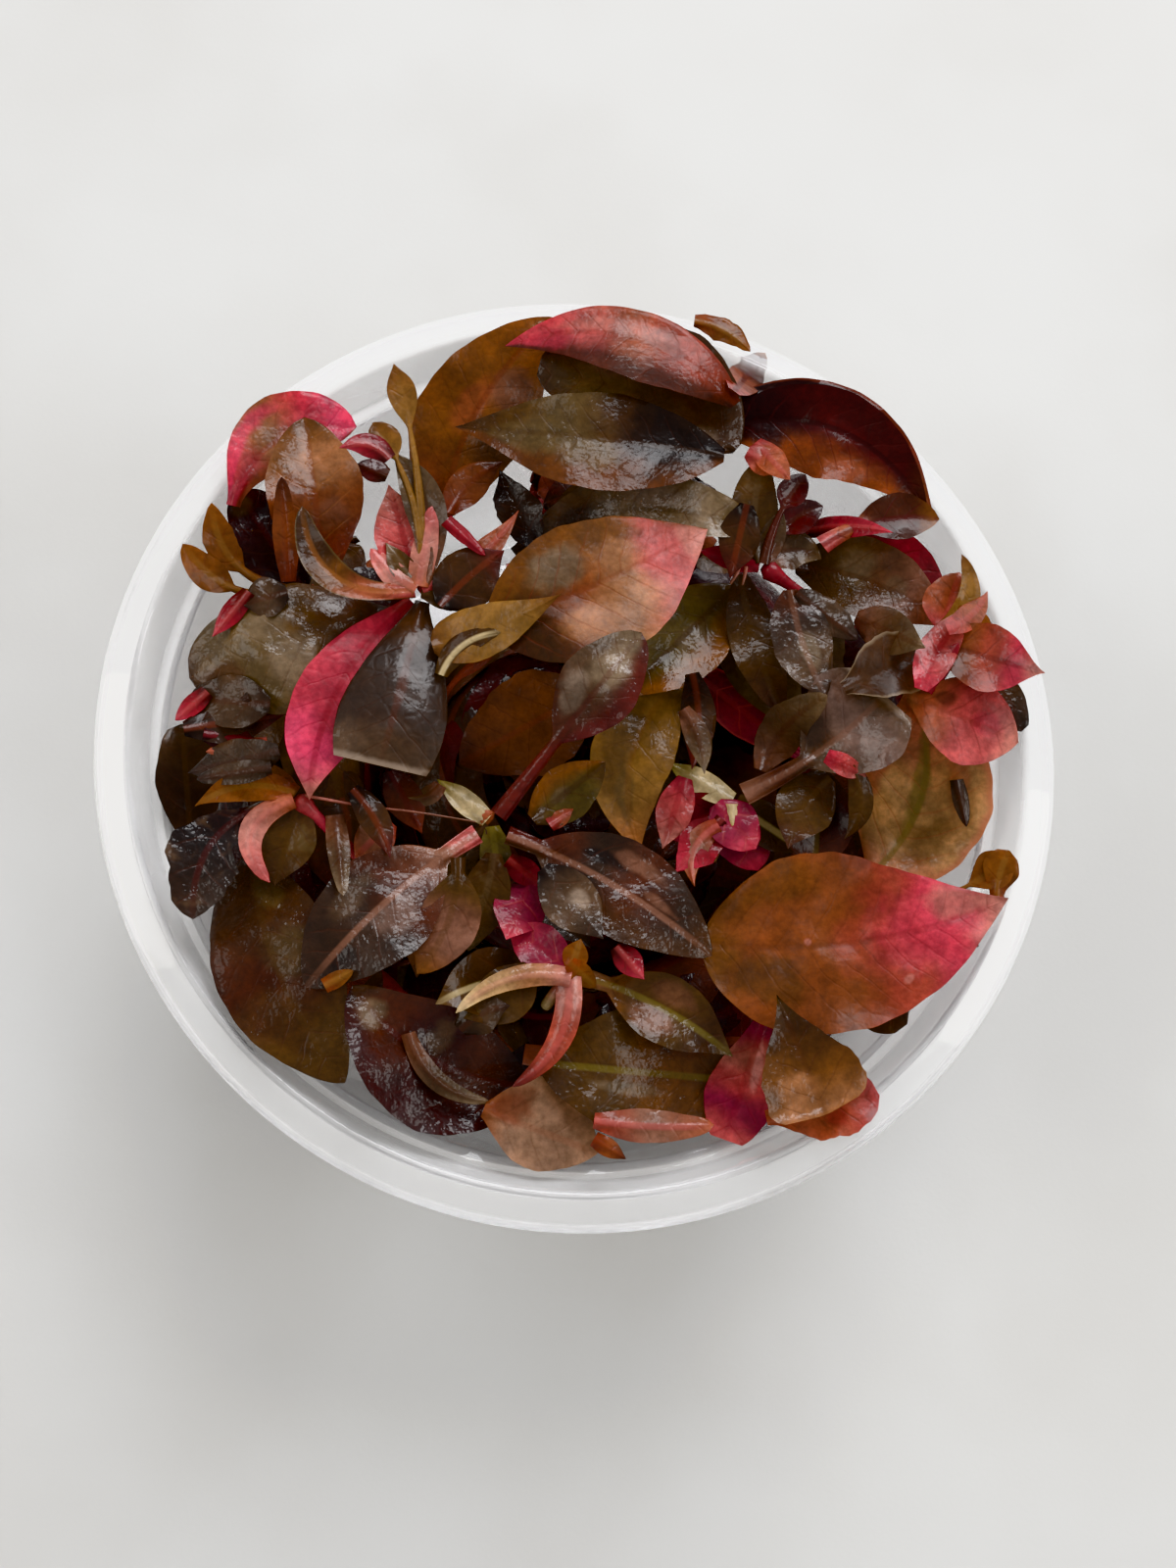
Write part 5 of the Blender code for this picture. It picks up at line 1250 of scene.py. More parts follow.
STEM_TIPS = (
    StemTip("shoot_left_edge", (-34.0, 15.8), 40.0, (-29.0, 13.0), 3.0, (
        Blade("maroon", (-34.3, 16.1), (-42.5, 28.3), 10.0, NEAR_BLACK, 40.15, roll=15.0, curl=0.6, point=0.45),
        Blade("spoon_high", (-34.3, 15.6), (-45.6, 26.8), 3.4, AMBER_LEAF, 39.9, rise=9.0, bend=3.2, stalk=0.45,
              left=1.2, right=1.2, point=0.7, ragged=0.08),
        Blade("spoon_low", (-34.3, 15.3), (-48.7, 21.4), 4.0, AMBER_LEAF, 40.3, rise=9.5, bend=2.6, stalk=0.5,
              point=0.6),
    ), laid=(
        Blade("orange_strip", (-36.0, 17.0), (-37.4, 30.5), 2.8, ORANGE_STRIP, point=0.5, cup=2.0),
        Blade("red_sliver", (-40.6, 15.6), (-44.6, 9.8), 2.4, CRIMSON_FOLDED, cup=4.0),
    )),
    StemTip("shoot_left", (-34.0, -9.5), 43.0, (-26.0, -17.0), 4.0, (
        Blade("fold", (-34.2, -9.0), (-45.5, -10.8), 4.0, AMBER_LEAF, 43.3, bend=-1.6, cup=25.0),
        Blade("torn", (-34.5, -9.8), (-45.0, -24.0), 8.0, TORN_PURPLE, 43.15, bend=-4.0, stalk=0.2, ragged=0.14,
              wide=0.6, point=0.6),
        Blade("oval", (-33.8, -10.0), (-36.0, -20.0), 6.5, OLIVE_LEAF, 43.0, rise=-1.5),
        Blade("stub", (-34.0, -9.0), (-41.0, -5.0), 3.0, AMBER_LEAF, 42.85, cup=20.0, ragged=0.1),
        Blade("petiole", (-34.3, -9.8), (-36.6, -19.6), 2.7, PINK_STALK, 43.8, bend=-3.6, stalk=0.0, point=0.5,
              cup=4.0, stout=1.2),
    ), roots=(Root(((-33.0, -9.3, 43.9), (-26.0, -10.4, 44.6), (-20.0, -11.0, 44.6), (-13.2, -12.0, 44.4)), 0.2),),
       laid=(
        Blade("dark_round", (-37.5, 1.6), (-47.0, 2.2), 6.5, DARK_SMALL, point=0.6, cup=4.0, lumps=0.4),
        Blade("strip", (-37.6, -3.2), (-44.6, -4.3), 1.7, BROWN_STALK, point=0.5, cup=4.0),
        Blade("strip_low", (-37.0, -6.0), (-45.5, -7.6), 2.6, DARK_SMALL, point=0.5, cup=4.0),
        Blade("left_a", (-40.0, 2.4), (-46.3, 0.3), 4.6, DARK_SMALL, cup=4.0, lumps=0.4, ragged=0.05),
        Blade("left_b", (-45.0, -2.1), (-38.5, -3.0), 3.4, HIDDEN_RED, cup=4.0, lumps=0.4, ragged=0.05),
        Blade("red_bit", (-44.8, 3.0), (-48.3, -0.6), 2.2, CRIMSON_FOLDED, point=0.7, cup=4.0),
        Blade("amber_low", (-23.0, -12.2), (-27.0, -16.5), 4.6, BROWN_STALK, point=0.9, lumps=0.3),
        Blade("layer_a", (-47.3, -1.6), (-35.5, 0.6), 5.0, HIDDEN_BROWN, cup=3.0, lumps=0.4, ragged=0.05),
        Blade("layer_b", (-36.2, -4.0), (-46.6, -6.9), 5.2, DARK_SMALL, cup=3.0, lumps=0.4, ragged=0.05),
        Blade("amber_fold", (-27.6, -8.4), (-23.0, -16.5), 3.4, HIDDEN_BROWN, cup=14.0, lumps=0.4, bend=0.6),
        Blade("dark_fold", (-23.3, -6.1), (-19.4, -13.5), 4.2, HIDDEN_RUST, cup=10.0, lumps=0.4),
        Blade("folded_stalk", (-29.5, -11.5), (-28.2, -21.0), 2.4, GREY_SMALL, point=0.5, cup=16.0, stout=1.3),
    )),
    StemTip("shoot_right", (43.5, 13.0), 44.0, (38.0, 6.0), 3.0, (
        Blade("salmon", (43.6, 13.3), (46.2, 21.0), 7.0, SALMON_SMALL, 44.85, point=0.7),
        Blade("curled", (43.2, 13.4), (46.6, 23.4), 2.8, AMBER_BAND, 45.3, bend=-2.4, rise=1.5, cup=30.0, left=1.1,
              right=1.1, point=0.6),
        Blade("round", (43.9, 13.1), (50.3, 12.6), 4.6, AMBER_LEAF, 45.15, bend=1.6, rise=1.0),
        Blade("slate", (43.9, 12.7), (52.8, 0.6), 4.5, DARK_SMALL, 44.7, bend=1.5, stalk=0.45, cup=6.0, point=0.4),
        Blade("stalk", (43.8, 13.2), (40.5, 6.0), 3.2, CRIMSON_STALK, 45.45),
    ), laid=(
        Blade("pink_fold", (40.6, 5.6), (46.6, 15.6), 4.8, PINK_CLEAR, point=0.6, bend=0.6),
        Blade("pink_strand", (41.3, 5.4), (45.6, 11.8), 1.8, CRIMSON_STALK, point=0.5),
        Blade("gap_dark", (32.9, 14.8), (41.4, 11.0), 6.0, GREY_SMALL, cup=4.0, lumps=0.3),
        Blade("salmon_edge", (44.2, 13.6), (49.6, 18.6), 3.0, SALMON_SMALL, bend=-0.8),
    )),
    StemTip("shoot_upper_right", (21.5, 21.0), 45.0, (32.5, 13.0), 1.5, (
        Blade("olive", (21.2, 21.4), (22.6, 36.8), 5.0, OLIVE_TAN, 45.3, rise=2.0, bend=1.2, left=1.15, right=1.15),
        Blade("grey", (21.7, 21.5), (24.2, 28.8), 3.0, GREY_SMALL, 45.15, rise=1.5),
        Blade("point", (21.9, 21.2), (28.8, 22.2), 5.0, GREY_SMALL, 45.0, bend=1.5, left=1.2, point=0.8),
        Blade("bud_low", (21.8, 21.4), (29.3, 29.2), 4.2, MAROON_BUD, 44.85, bend=1.5, rise=1.5, stalk=0.4, cup=30.0,
              left=1.2, right=1.2, point=0.6),
        Blade("bud_high", (21.6, 21.3), (27.2, 33.4), 3.6, MAROON_BUD, 45.45, bend=0.8, rise=2.5, stalk=0.6, cup=30.0,
              left=1.2, right=1.2, point=0.6),
        Blade("stalk", (21.1, 21.2), (13.5, 22.8), 3.0, CRIMSON_STALK, 45.0, stout=1.3),
    ), CRIMSON_STALK, (
        Root(((18.6, 21.0, 45.4), (18.2, 19.8, 45.4), (17.4, 18.5, 45.2)), 0.3),
        Root(((19.4, 20.8, 45.4), (19.2, 19.6, 45.4), (18.9, 18.4, 45.2)), 0.28),
    ), laid=(
        Blade("salmon_point", (21.0, 37.5), (25.2, 32.6), 3.6, SALMON_SMALL, point=0.8, cup=4.0),
        Blade("gap_mid", (19.7, 29.1), (17.4, 19.3), 5.0, HIDDEN_BROWN, cup=4.0),
        Blade("gap_top", (19.9, 36.2), (24.6, 33.7), 4.0, SALMON_SMALL, cup=4.0),
        Blade("brown_curl", (13.5, 54.0), (20.6, 50.0), 3.2, AMBER_LEAF, point=0.7, bend=0.8, ragged=0.1),
        Blade("brown_wedge", (18.4, 44.4), (22.4, 49.6), 4.6, BROWN_STALKED, point=0.7, wide=0.35),
        Blade("maroon_film", (25.6, 17.6), (33.0, 11.8), 4.6, DARK_SMALL, point=0.7, ragged=0.08),
        Blade("grey_wing", (20.6, -5.0), (29.0, 4.6), 5.4, GREY_SMALL, point=0.6, bend=1.2, ragged=0.05),
        Blade("slate_sheen", (24.8, 18.0), (28.8, 4.3), 7.6, SLATE_SHEEN, bend=-0.6, cup=8.0, lumps=0.4, ragged=0.04, point=0.8),
        Blade("olive_behind", (18.7, 19.8), (24.1, 0.6), 6.2, HIDDEN_OLIVE, bend=-0.8, cup=8.0, lumps=0.3),
        Blade("pink_wedge", (28.6, -3.0), (33.6, -5.6), 2.6, PINK_CLEAR, cup=4.0),
        Blade("red_strip", (26.5, 25.6), (38.0, 26.0), 2.8, CRIMSON_FOLDED, bend=0.8),
    )),
    StemTip("shoot_middle_right", (17.0, -9.0), 45.0, (14.5, -16.0), 3.5, (
        Blade("pale", (17.1, -8.8), (9.3, -4.3), 3.1, PALE_STALK, 45.45, stout=1.2),
        Blade("midrib", (17.3, -9.2), (26.0, -15.0), 5.0, OLIVE_FOLDED, 45.3, cup=6.0, stout=1.7),
        Blade("round", (16.9, -9.6), (20.0, -17.2), 7.2, ROUND_MAGENTA, 45.15, rise=-1.0, cup=4.0, point=0.65),
        Blade("crimson", (16.7, -9.4), (9.0, -13.5), 7.5, CRIMSON_FOLDED, 44.9, rise=-2.0, cup=25.0, lumps=0.4),
    ), PALE_NODE, laid=(
        Blade("bud", (17.0, -9.2), (17.0, -12.2), 1.8, PALE_STALK, point=0.5),
        Blade("crimson_low", (15.8, -11.0), (10.2, -17.6), 5.0, CRIMSON_FOLDED, lumps=0.4, ragged=0.06),
        Blade("brown_curl", (15.4, -11.8), (12.4, -19.2), 2.8, BROWN_STALK, bend=-1.6, cup=10.0, stout=1.2),
        Blade("striped", (11.4, 2.4), (13.8, -5.6), 3.2, GREY_SMALL, bend=0.6, cup=24.0),
        Blade("olive_gap", (-6.6, -11.6), (2.0, -4.4), 6.6, GREEN_CENTRE, point=0.8),
        Blade("salmon_chip", (-4.6, -12.2), (-1.8, -10.2), 1.8, SALMON_SMALL),
        Blade("crimson_a", (11.5, -6.1), (8.7, -14.8), 4.2, PINK_CLEAR, cup=4.0, lumps=0.3),
        Blade("crimson_b", (15.1, -9.2), (19.8, -14.6), 6.0, ROUND_MAGENTA, cup=4.0, point=0.6),
        Blade("dark_a", (12.5, 6.9), (12.3, -5.1), 4.2, HIDDEN_BROWN, bend=0.8, cup=14.0),
        Blade("brown_fold", (29.0, -5.7), (23.6, -14.5), 7.0, HIDDEN_OLIVE, cup=4.0, bend=-0.8),
    )),
    StemTip("shoot_right_edge", (26.7, -17.0), 42.0, (21.0, -19.0), 3.0, (
        Blade("brown", (26.7, -16.7), (28.0, -3.5), 9.5, BROWN_RIBBED, 42.0, cup=18.0, lumps=0.4),
        Blade("amber", (27.0, -16.9), (50.4, -14.8), 4.2, AMBER_LEAF, 42.15, rise=6.0, bend=-4.5, stalk=0.76,
              cup=20.0, point=0.6, wide=0.6, left=1.2, right=1.2),
        Blade("sliver", (27.2, -17.1), (46.0, -25.8), 3.0, OLIVE_LEAF, 41.85, rise=3.0, stalk=0.76, cup=20.0,
              point=0.6),
        Blade("blob", (26.9, -17.4), (37.0, -35.0), 5.5, OLIVE_LEAF, 42.0, rise=2.5, bend=-2.5, stalk=0.6, cup=20.0,
              point=0.5, wide=0.6, right=1.3),
    ), laid=(
        Blade("curl", (31.6, -4.2), (30.4, -13.2), 3.0, OLIVE_LEAF, bend=1.6, cup=16.0),
        Blade("dark_edge", (44.4, -5.6), (45.3, -11.4), 1.8, DARK_SMALL, point=0.6),
        Blade("spoon_edge", (48.5, -20.1), (50.4, -14.2), 4.4, AMBER_LEAF, bend=0.4, point=0.5, wide=0.62, cup=6.0),
    )),
    StemTip("shoot_upper_left", (-20.5, 16.5), 47.0, (-16.0, 19.5), 1.5, (
        Blade("curled", (-21.0, 16.5), (-34.8, 26.8), 4.4, CURLED_SMALL, 47.45, bend=4.6, rise=1.5, cup=25.0,
              point=0.6, wide=0.6, stout=1.3),
        Blade("pink", (-20.6, 17.0), (-24.5, 30.0), 7.0, PINK_CLEAR, 47.0, rise=1.0, cup=10.0, lumps=0.3),
        Blade("pair_low", (-20.4, 17.1), (-26.6, 38.2), 3.4, AMBER_BAND, 47.15, rise=3.5, bend=-2.0, stalk=0.76,
              wide=0.5, point=0.6, left=1.2, right=1.2),
        Blade("pair_high", (-20.3, 17.2), (-24.3, 46.2), 3.6, AMBER_BAND, 46.9, rise=5.0, bend=-1.2, stalk=0.7,
              wide=0.55),
        Blade("grey", (-20.2, 17.0), (-24.2, 34.4), 5.2, GREY_SMALL, 47.3, bend=-2.6, rise=2.0, cup=20.0, stout=1.4,
              wide=0.6),
        Blade("twisted", (-20.2, 16.3), (-14.2, 13.8), 3.2, OLIVE_LEAF, 47.15, bend=0.5, cup=20.0),
        Blade("twisted_tip", (-20.8, 16.8), (-24.6, 22.4), 3.0, OLIVE_TAN, 47.6, rise=0.5, cup=20.0),
        Blade("flat_stalk", (-20.6, 17.0), (-19.0, 27.5), 2.8, PINK_STALK, 47.7, rise=1.0, stout=1.5, point=0.5),
        Blade("flat_stalk_left", (-20.8, 16.6), (-26.4, 21.6), 2.8, PINK_STALK, 47.75, bend=0.5, stout=1.5, point=0.6),
        Blade("flat_stalk_right", (-20.2, 16.8), (-8.6, 27.2), 3.2, SALMON_SMALL, 47.2, rise=-0.5, bend=-1.4,
              stout=1.4),
    ), laid=(
        Blade("red_arch", (-24.4, 33.4), (-30.6, 34.6), 3.0, CRIMSON_FOLDED, bend=-1.2, cup=4.0),
        Blade("small_dark", (-24.6, 31.2), (-28.4, 32.6), 3.0, MAROON_BUD, point=0.7),
        Blade("rust_leaf", (-17.2, 26.6), (-10.6, 33.6), 4.6, ORANGE_STRIP, bend=0.8),
        Blade("crossing_stalk", (-17.4, 25.6), (-12.6, 21.2), 1.4, CRIMSON_STALK, stalk=0.0, point=0.4, cup=2.0),
        Blade("glassy_roll", (-17.6, 5.8), (-10.6, 11.4), 3.2, OLIVE_FOLDED, bend=1.4, cup=26.0, point=0.6),
        Blade("amber", (-18.7, 9.4), (-3.4, 16.5), 6.6, AMBER_BAND, bend=-0.6, wide=0.3, cup=4.0, lumps=0.25),
        Blade("gap_leaf", (-17.9, 14.5), (-10.3, 21.9), 7.5, HIDDEN_BROWN, bend=0.4, cup=3.0),
        Blade("dark_tuft", (-36.1, 15.7), (-41.5, 14.0), 5.0, DARK_SMALL, cup=4.0, lumps=0.3),
    )),
    StemTip("shoot_centre", (-11.5, -12.0), 49.0, (-16.0, -8.0), 3.0, (
        Blade("green", (-11.3, -12.5), (-10.2, -20.3), 3.6, OLIVE_SMALL, 49.3, cup=16.0),
        Blade("pale", (-11.8, -11.7), (-17.8, -7.0), 2.8, PALE_STALK, 49.15, rise=-1.0, cup=20.0, stout=1.2),
        Blade("tan", (-11.8, -12.4), (-19.6, -30.3), 6.6, TAN_SMALL, 48.85, rise=-2.5, bend=-1.8, stalk=0.25,
              left=1.15, right=1.15),
        Blade("olive", (-11.5, -12.6), (-13.8, -27.2), 6.4, OLIVE_TAN, 49.0, rise=-2.0, stalk=0.1, point=0.8,
              left=1.1),
    ), PINK_STALK, laid=(
        Blade("curled_end", (-17.4, -7.6), (-21.4, -9.2), 2.2, GREY_SMALL, bend=0.8, cup=20.0),
        Blade("tan_leaf", (-15.2, -16.3), (-19.6, -29.9), 7.0, TAN_SMALL, bend=1.4, cup=4.0, stalk=0.12, point=0.8),
        Blade("olive_leaf", (-11.1, -15.7), (-15.1, -27.6), 5.6, OLIVE_TAN, bend=0.8, cup=4.0),
        Blade("crimson_gap", (-9.4, -16.4), (-5.0, -19.6), 3.0, CRIMSON_FOLDED),
    )),
    StemTip("shoot_bottom", (-2.0, -29.2), 48.0, (-5.0, -33.5), 2.0, (
        Blade("spur", (-2.0, -29.0), (-0.9, -25.6), 2.2, AMBER_LEAF, 48.15, rise=1.0, left=1.3, right=1.3),
        Blade("stalk", (-2.4, -29.6), (-8.6, -42.5), 2.4, CRIMSON_BROWN_STALK, 48.0, bend=2.4, rise=-1.5, stout=1.8,
              point=0.6),
        Blade("pink", (-2.4, -28.9), (-9.4, -24.0), 5.6, ROUND_MAGENTA, 47.85, rise=-2.0),
    ), PALE_NODE, laid=(
        Blade("cup", (-2.2, -28.4), (0.8, -31.2), 2.6, AMBER_LEAF, point=0.6, cup=24.0),
        Blade("folded_petiole", (-2.0, -30.1), (-15.1, -34.3), 2.4, FOLD_STALK, bend=-1.9, point=0.6, cup=20.0, stout=1.4),
        Blade("crimson_bit", (3.2, -26.4), (6.4, -30.2), 3.0, CRIMSON_FOLDED),
        Blade("crimson_low", (-6.8, -19.2), (-9.5, -25.8), 6.0, ROUND_MAGENTA, cup=4.0, lumps=0.3),
        Blade("dark_low", (-5.3, -17.3), (1.7, -25.6), 6.5, BLACK_GLOSSY, cup=6.0, lumps=0.5),
        Blade("olive_low", (-6.7, -28.8), (-14.2, -34.9), 6.2, OLIVE_LEAF, bend=0.8, cup=6.0),
        Blade("brown_end", (0.6, -48.2), (4.2, -50.4), 1.8, ORANGE_STRIP, cup=4.0),
        Blade("lower_fold", (0.6, -46.2), (14.2, -46.6), 3.6, BROWN_STALK, point=0.5, cup=2.0, bend=-0.4),
        Blade("grey_ridge", (-20.4, -36.6), (-11.0, -44.2), 2.2, GREY_SMALL, bend=-2.0, cup=20.0, point=0.6),
        Blade("dark_flap", (-14.6, -36.2), (-9.0, -33.4), 4.6, DARK_SMALL, bend=0.6),
        Blade("amber_bit", (-30.0, -31.4), (-26.8, -29.6), 1.6, AMBER_LEAF, point=0.6),
    )),
)


@dataclass
class WholeCutting:
    """A whole cutting that lies bent along the tub: a stem with leaves laid round it.

    Attributes:
        name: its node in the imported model.
        radius: how far its middle line is from the tub's axis.
        start: where round the tub it starts, in degrees.
        end: where it ends.
        height: the height of its middle line.
        half_width: half the room it takes, outward.
        half_height: half the room it takes, upward.
        leaves: how many leaves it has.
    """

    name: str
    radius: float
    start: float
    end: float
    height: float
    half_width: float
    half_height: float
    leaves: int

    def point(self, share: np.ndarray, turn: np.ndarray, reach: np.ndarray) -> np.ndarray:
        """Places round the cutting.

        Args:
            share: shares of the way along it.
            turn: angles round its middle line in radians, 0 outward and a quarter turn up.
            reach: shares of the room it takes there.

        Returns:
            True places in millimetres.
        """
        taper = 0.5 + 0.5 * np.clip(np.sin(np.pi * np.clip(share, 0.0, 1.0)), 0.0, 1.0) ** 0.3
        angle = np.radians(self.start + (self.end - self.start) * share)
        out = self.radius + np.cos(turn) * reach * self.half_width * taper
        up = self.height + np.sin(turn) * reach * self.half_height * taper
        return np.stack([out * np.cos(angle), out * np.sin(angle), up + 0.0 * out], axis=-1)

    def add_leaf(self, bm: bmesh.types.BMesh, rng: np.random.Generator, index: int, kinds: int) -> None:
        """Adds one leaf that lies round the cutting.

        Args:
            bm: the mesh to add to.
            rng: the cutting's random numbers.
            index: which leaf it is.
            kinds: how many finishes the leaves share.
        """
        arc = math.radians(self.end - self.start) * self.radius
        girth = (self.half_width + self.half_height) / 2.0
        long_share = rng.uniform(24.0, 34.0) / arc
        middle = (index + 0.5) / self.leaves
        begin = middle * (1.1 - 0.35 * long_share) - 0.05 - 0.5 * long_share * middle
        centre = index * 2.4 + rng.uniform(-0.3, 0.3)
        half_angle = rng.uniform(6.5, 8.5) / girth
        skew = rng.uniform(-0.5, 0.5)
        u = np.linspace(0.0, 1.0, 27)[:, None]
        v = np.sign(np.linspace(-1.0, 1.0, 11)) * np.abs(np.linspace(-1.0, 1.0, 11)) ** 1.2
        v = v[None, :]
        width = np.sin(np.pi * u ** 0.87) ** 0.85 * (1.0 + 0.04 * np.sin(19.0 * u + index))
        share = begin + long_share * u + 0.0 * v
        share = 1.0 / (1.0 + np.exp(-5.0 * (share - 0.5)))
        turn = centre + v * half_angle * np.maximum(width, 0.05) + skew * (u - 0.5)
        outward = rng.uniform(0.68, 0.96) + 0.12 * np.sin(math.pi * u) + 0.1 * (u - 0.5)
        ripple = 0.035 * np.sin(9.0 * u + 3.0 * v + index) + 0.025 * np.cos(26.0 * u - 5.0 * np.abs(v))
        crease = 0.05 * (np.abs(v) - 0.4)
        reach = np.clip(outward + ripple + crease, 0.3, 1.08)
        thin = 0.03 - 0.015 * np.abs(v) ** 3
        lay = np.dstack([u + 0.0 * v, v + 0.0 * u, 0.0 * share])
        grain = np.dstack([u * 30.0 + 0.0 * v, v * width * 6.0, 0.0 * share])
        outer, inner = self.point(share, turn, reach), self.point(share, turn, reach - thin)
        add_sheet(bm, outer, inner, lay, grain, 1 + int(rng.integers(0, kinds)))

    def add_fallen(self, bm: bmesh.types.BMesh, rng: np.random.Generator, index: int) -> None:
        """Adds one leaf that lies on the floor of the tub.

        Args:
            bm: the mesh to add to.
            rng: the cutting's random numbers.
            index: which leaf it is.
        """
        turn = math.radians(self.start + (self.end - self.start) * (index / (FALLEN - 1) * 1.24 - 0.12))
        level = FLOOR_LEVEL + 0.16 * (index % 5)
        outer = index % 2 == 1 and not 96.0 < math.degrees(turn) < 130.0
        ends = []
        for radius in ((19.0, 41.0) if outer else (2.0, 27.0)):
            place = np.array((radius * math.cos(turn), radius * math.sin(turn)))
            share = (level - SIGHT_LEVEL) / (EYE.z - SIGHT_LEVEL)
            ends.append(tuple((place - np.array(EYE)[:2] * share) / (1.0 - share)))
        kind = int(rng.integers(0, len(HIDDEN_LEAVES)))
        leaf = Blade("fallen", ends[0], ends[1], 12.0, HIDDEN_LEAVES[kind], level + CAD_SETTLED, cup=1.0, wave=0.1,
                     lumps=0.04)
        leaf.add_to(bm, 1 + kind, None, 0.0)

    def build(self, finishes: Finishes) -> bpy.types.Object:
        """Builds the cutting as one piece."""
        seed = round(self.start * 7.0 + self.height * 31.0)
        rng = np.random.default_rng(seed)
        bm = bmesh.new()
        share = np.linspace(0.03, 0.97, 40)
        route = self.point(share, 0.0 * share, 0.05 + 0.0 * share)
        add_tube(bm, route, 1.3 + 0.5 * np.abs(np.sin(share * 19.0)) ** 8, 0)
        for index in range(self.leaves):
            self.add_leaf(bm, rng, index, len(HIDDEN_LEAVES))
        for index in range(FALLEN if self.name.startswith("lower") else 0):
            self.add_fallen(bm, rng, index)
        materials = [finishes.material(kind) for kind in (PINK_STALK, *HIDDEN_LEAVES)]
        return finish_piece(f"{self.name}_growth", bm, materials, self.name)


WHOLE_CUTTINGS = (
    WholeCutting("lower_cutting_left", 34.3, 125.0, 228.0, 10.6, 9.0, 8.3, 30),
    WholeCutting("lower_cutting_front", 34.3, 246.0, 348.0, 10.6, 9.0, 8.3, 30),
    WholeCutting("lower_cutting_right", 34.3, 6.0, 107.0, 10.6, 9.0, 8.3, 30),
    WholeCutting("middle_cutting_back", 36.0, 58.0, 100.0, 28.0, 9.6, 8.4, 16),
    WholeCutting("middle_cutting_left", 37.0, 126.0, 240.0, 28.0, 10.0, 8.4, 38),
    WholeCutting("middle_cutting_right", 37.0, 256.0, 398.0, 28.0, 10.0, 8.4, 46),
    WholeCutting("middle_cutting_centre", 12.8, 10.0, 348.0, 19.2, 12.0, 16.5, 64),
)


@dataclass
class Tub:
    """The clear tub, turned from its section with every corner rounded. Sizes are in millimetres."""

    wall: float = 0.9
    foot_radius: float = 42.6
    foot_width: float = 3.4
    foot_height: float = 0.7
    foot_curve: float = 1.4
    wall_top_radius: float = 50.6
    step_height: float = 39.1
    ledge_radius: float = 52.2
    ledge_rise: float = 0.4
    rim_radius: float = 54.4
    rim_height: float = 45.0
    lip_radius: float = 58.5
    lip_drop: float = 1.5
    skirt: float = 2.6
    rounding: float = 0.5
    steps: int = 192

    def section(self) -> list[tuple[float, float]]:
        """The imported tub's section: from the axis underneath, over the lip and back to the axis inside."""
        inside_foot = self.foot_radius - self.foot_width
        wall_foot = self.foot_radius + self.foot_curve
        lip_height = self.rim_height - self.lip_drop
        soft = self.rounding / 2.0
        return [
            (0.0, self.foot_height),
            (inside_foot - self.foot_height, self.foot_height),
            (inside_foot, 0.0),
            (self.foot_radius, 0.0),
            (wall_foot, self.foot_curve),
            (self.wall_top_radius + self.wall, self.step_height - self.wall),
            (self.ledge_radius + self.wall, self.step_height - self.wall + self.ledge_rise),
            (self.rim_radius + soft, self.rim_height - self.wall - soft),
            (self.lip_radius - self.wall, lip_height - self.wall),
            (self.lip_radius - self.wall, lip_height - self.skirt),
            (self.lip_radius, lip_height - self.skirt),
            (self.lip_radius, lip_height - self.rounding),
            (self.lip_radius - self.rounding, lip_height),
            (self.rim_radius + self.rounding, self.rim_height - soft),
            (self.rim_radius, self.rim_height),
            (self.rim_radius - self.rounding, self.rim_height - soft),
            (self.ledge_radius, self.step_height + self.ledge_rise),
            (self.wall_top_radius, self.step_height),
            (wall_foot - self.wall, self.foot_curve + self.wall),
            (self.foot_radius - self.rounding, self.foot_height + self.wall),
            (0.0, self.foot_height + self.wall),
        ]

    def rounded(self, reach: float = 0.45, steps: int = 4) -> list[tuple[float, float]]:
        """The section with each corner turned into a short curve.

        Args:
            reach: how far before and after a corner its curve runs, in millimetres.
            steps: how many points a curve has.

        Returns:
            Radii and heights in millimetres.
        """
        corners = [Vector(corner) for corner in self.section()]
        outline = [corners[0]]
        for before, corner, after in zip(corners, corners[1:], corners[2:]):
            into, out = corner - before, after - corner
            near = corner - into.normalized() * min(reach, into.length * 0.45)
            far = corner + out.normalized() * min(reach, out.length * 0.45)
            for step in range(steps + 1):
                share = step / steps
                outline.append(near.lerp(corner, share).lerp(corner.lerp(far, share), share))
        outline.append(corners[-1])
        return [(point.x, point.y) for point in outline]

    def build(self, finishes: Finishes) -> bpy.types.Object:
        """Builds the tub as one turned piece."""
        bm = bmesh.new()
        points = [bm.verts.new((radius, 0.0, height)) for radius, height in self.rounded()]
        edges = [bm.edges.new(pair) for pair in zip(points, points[1:])]
        bmesh.ops.spin(
            bm, geom=points + edges, cent=(0.0, 0.0, 0.0), axis=(0.0, 0.0, 1.0),
            angle=math.tau, steps=self.steps, use_merge=True,
        )
        bmesh.ops.remove_doubles(bm, verts=bm.verts, dist=0.001)
        return finish_piece("tub_shell", bm, [finishes.material(ClearPlastic())], "tub")


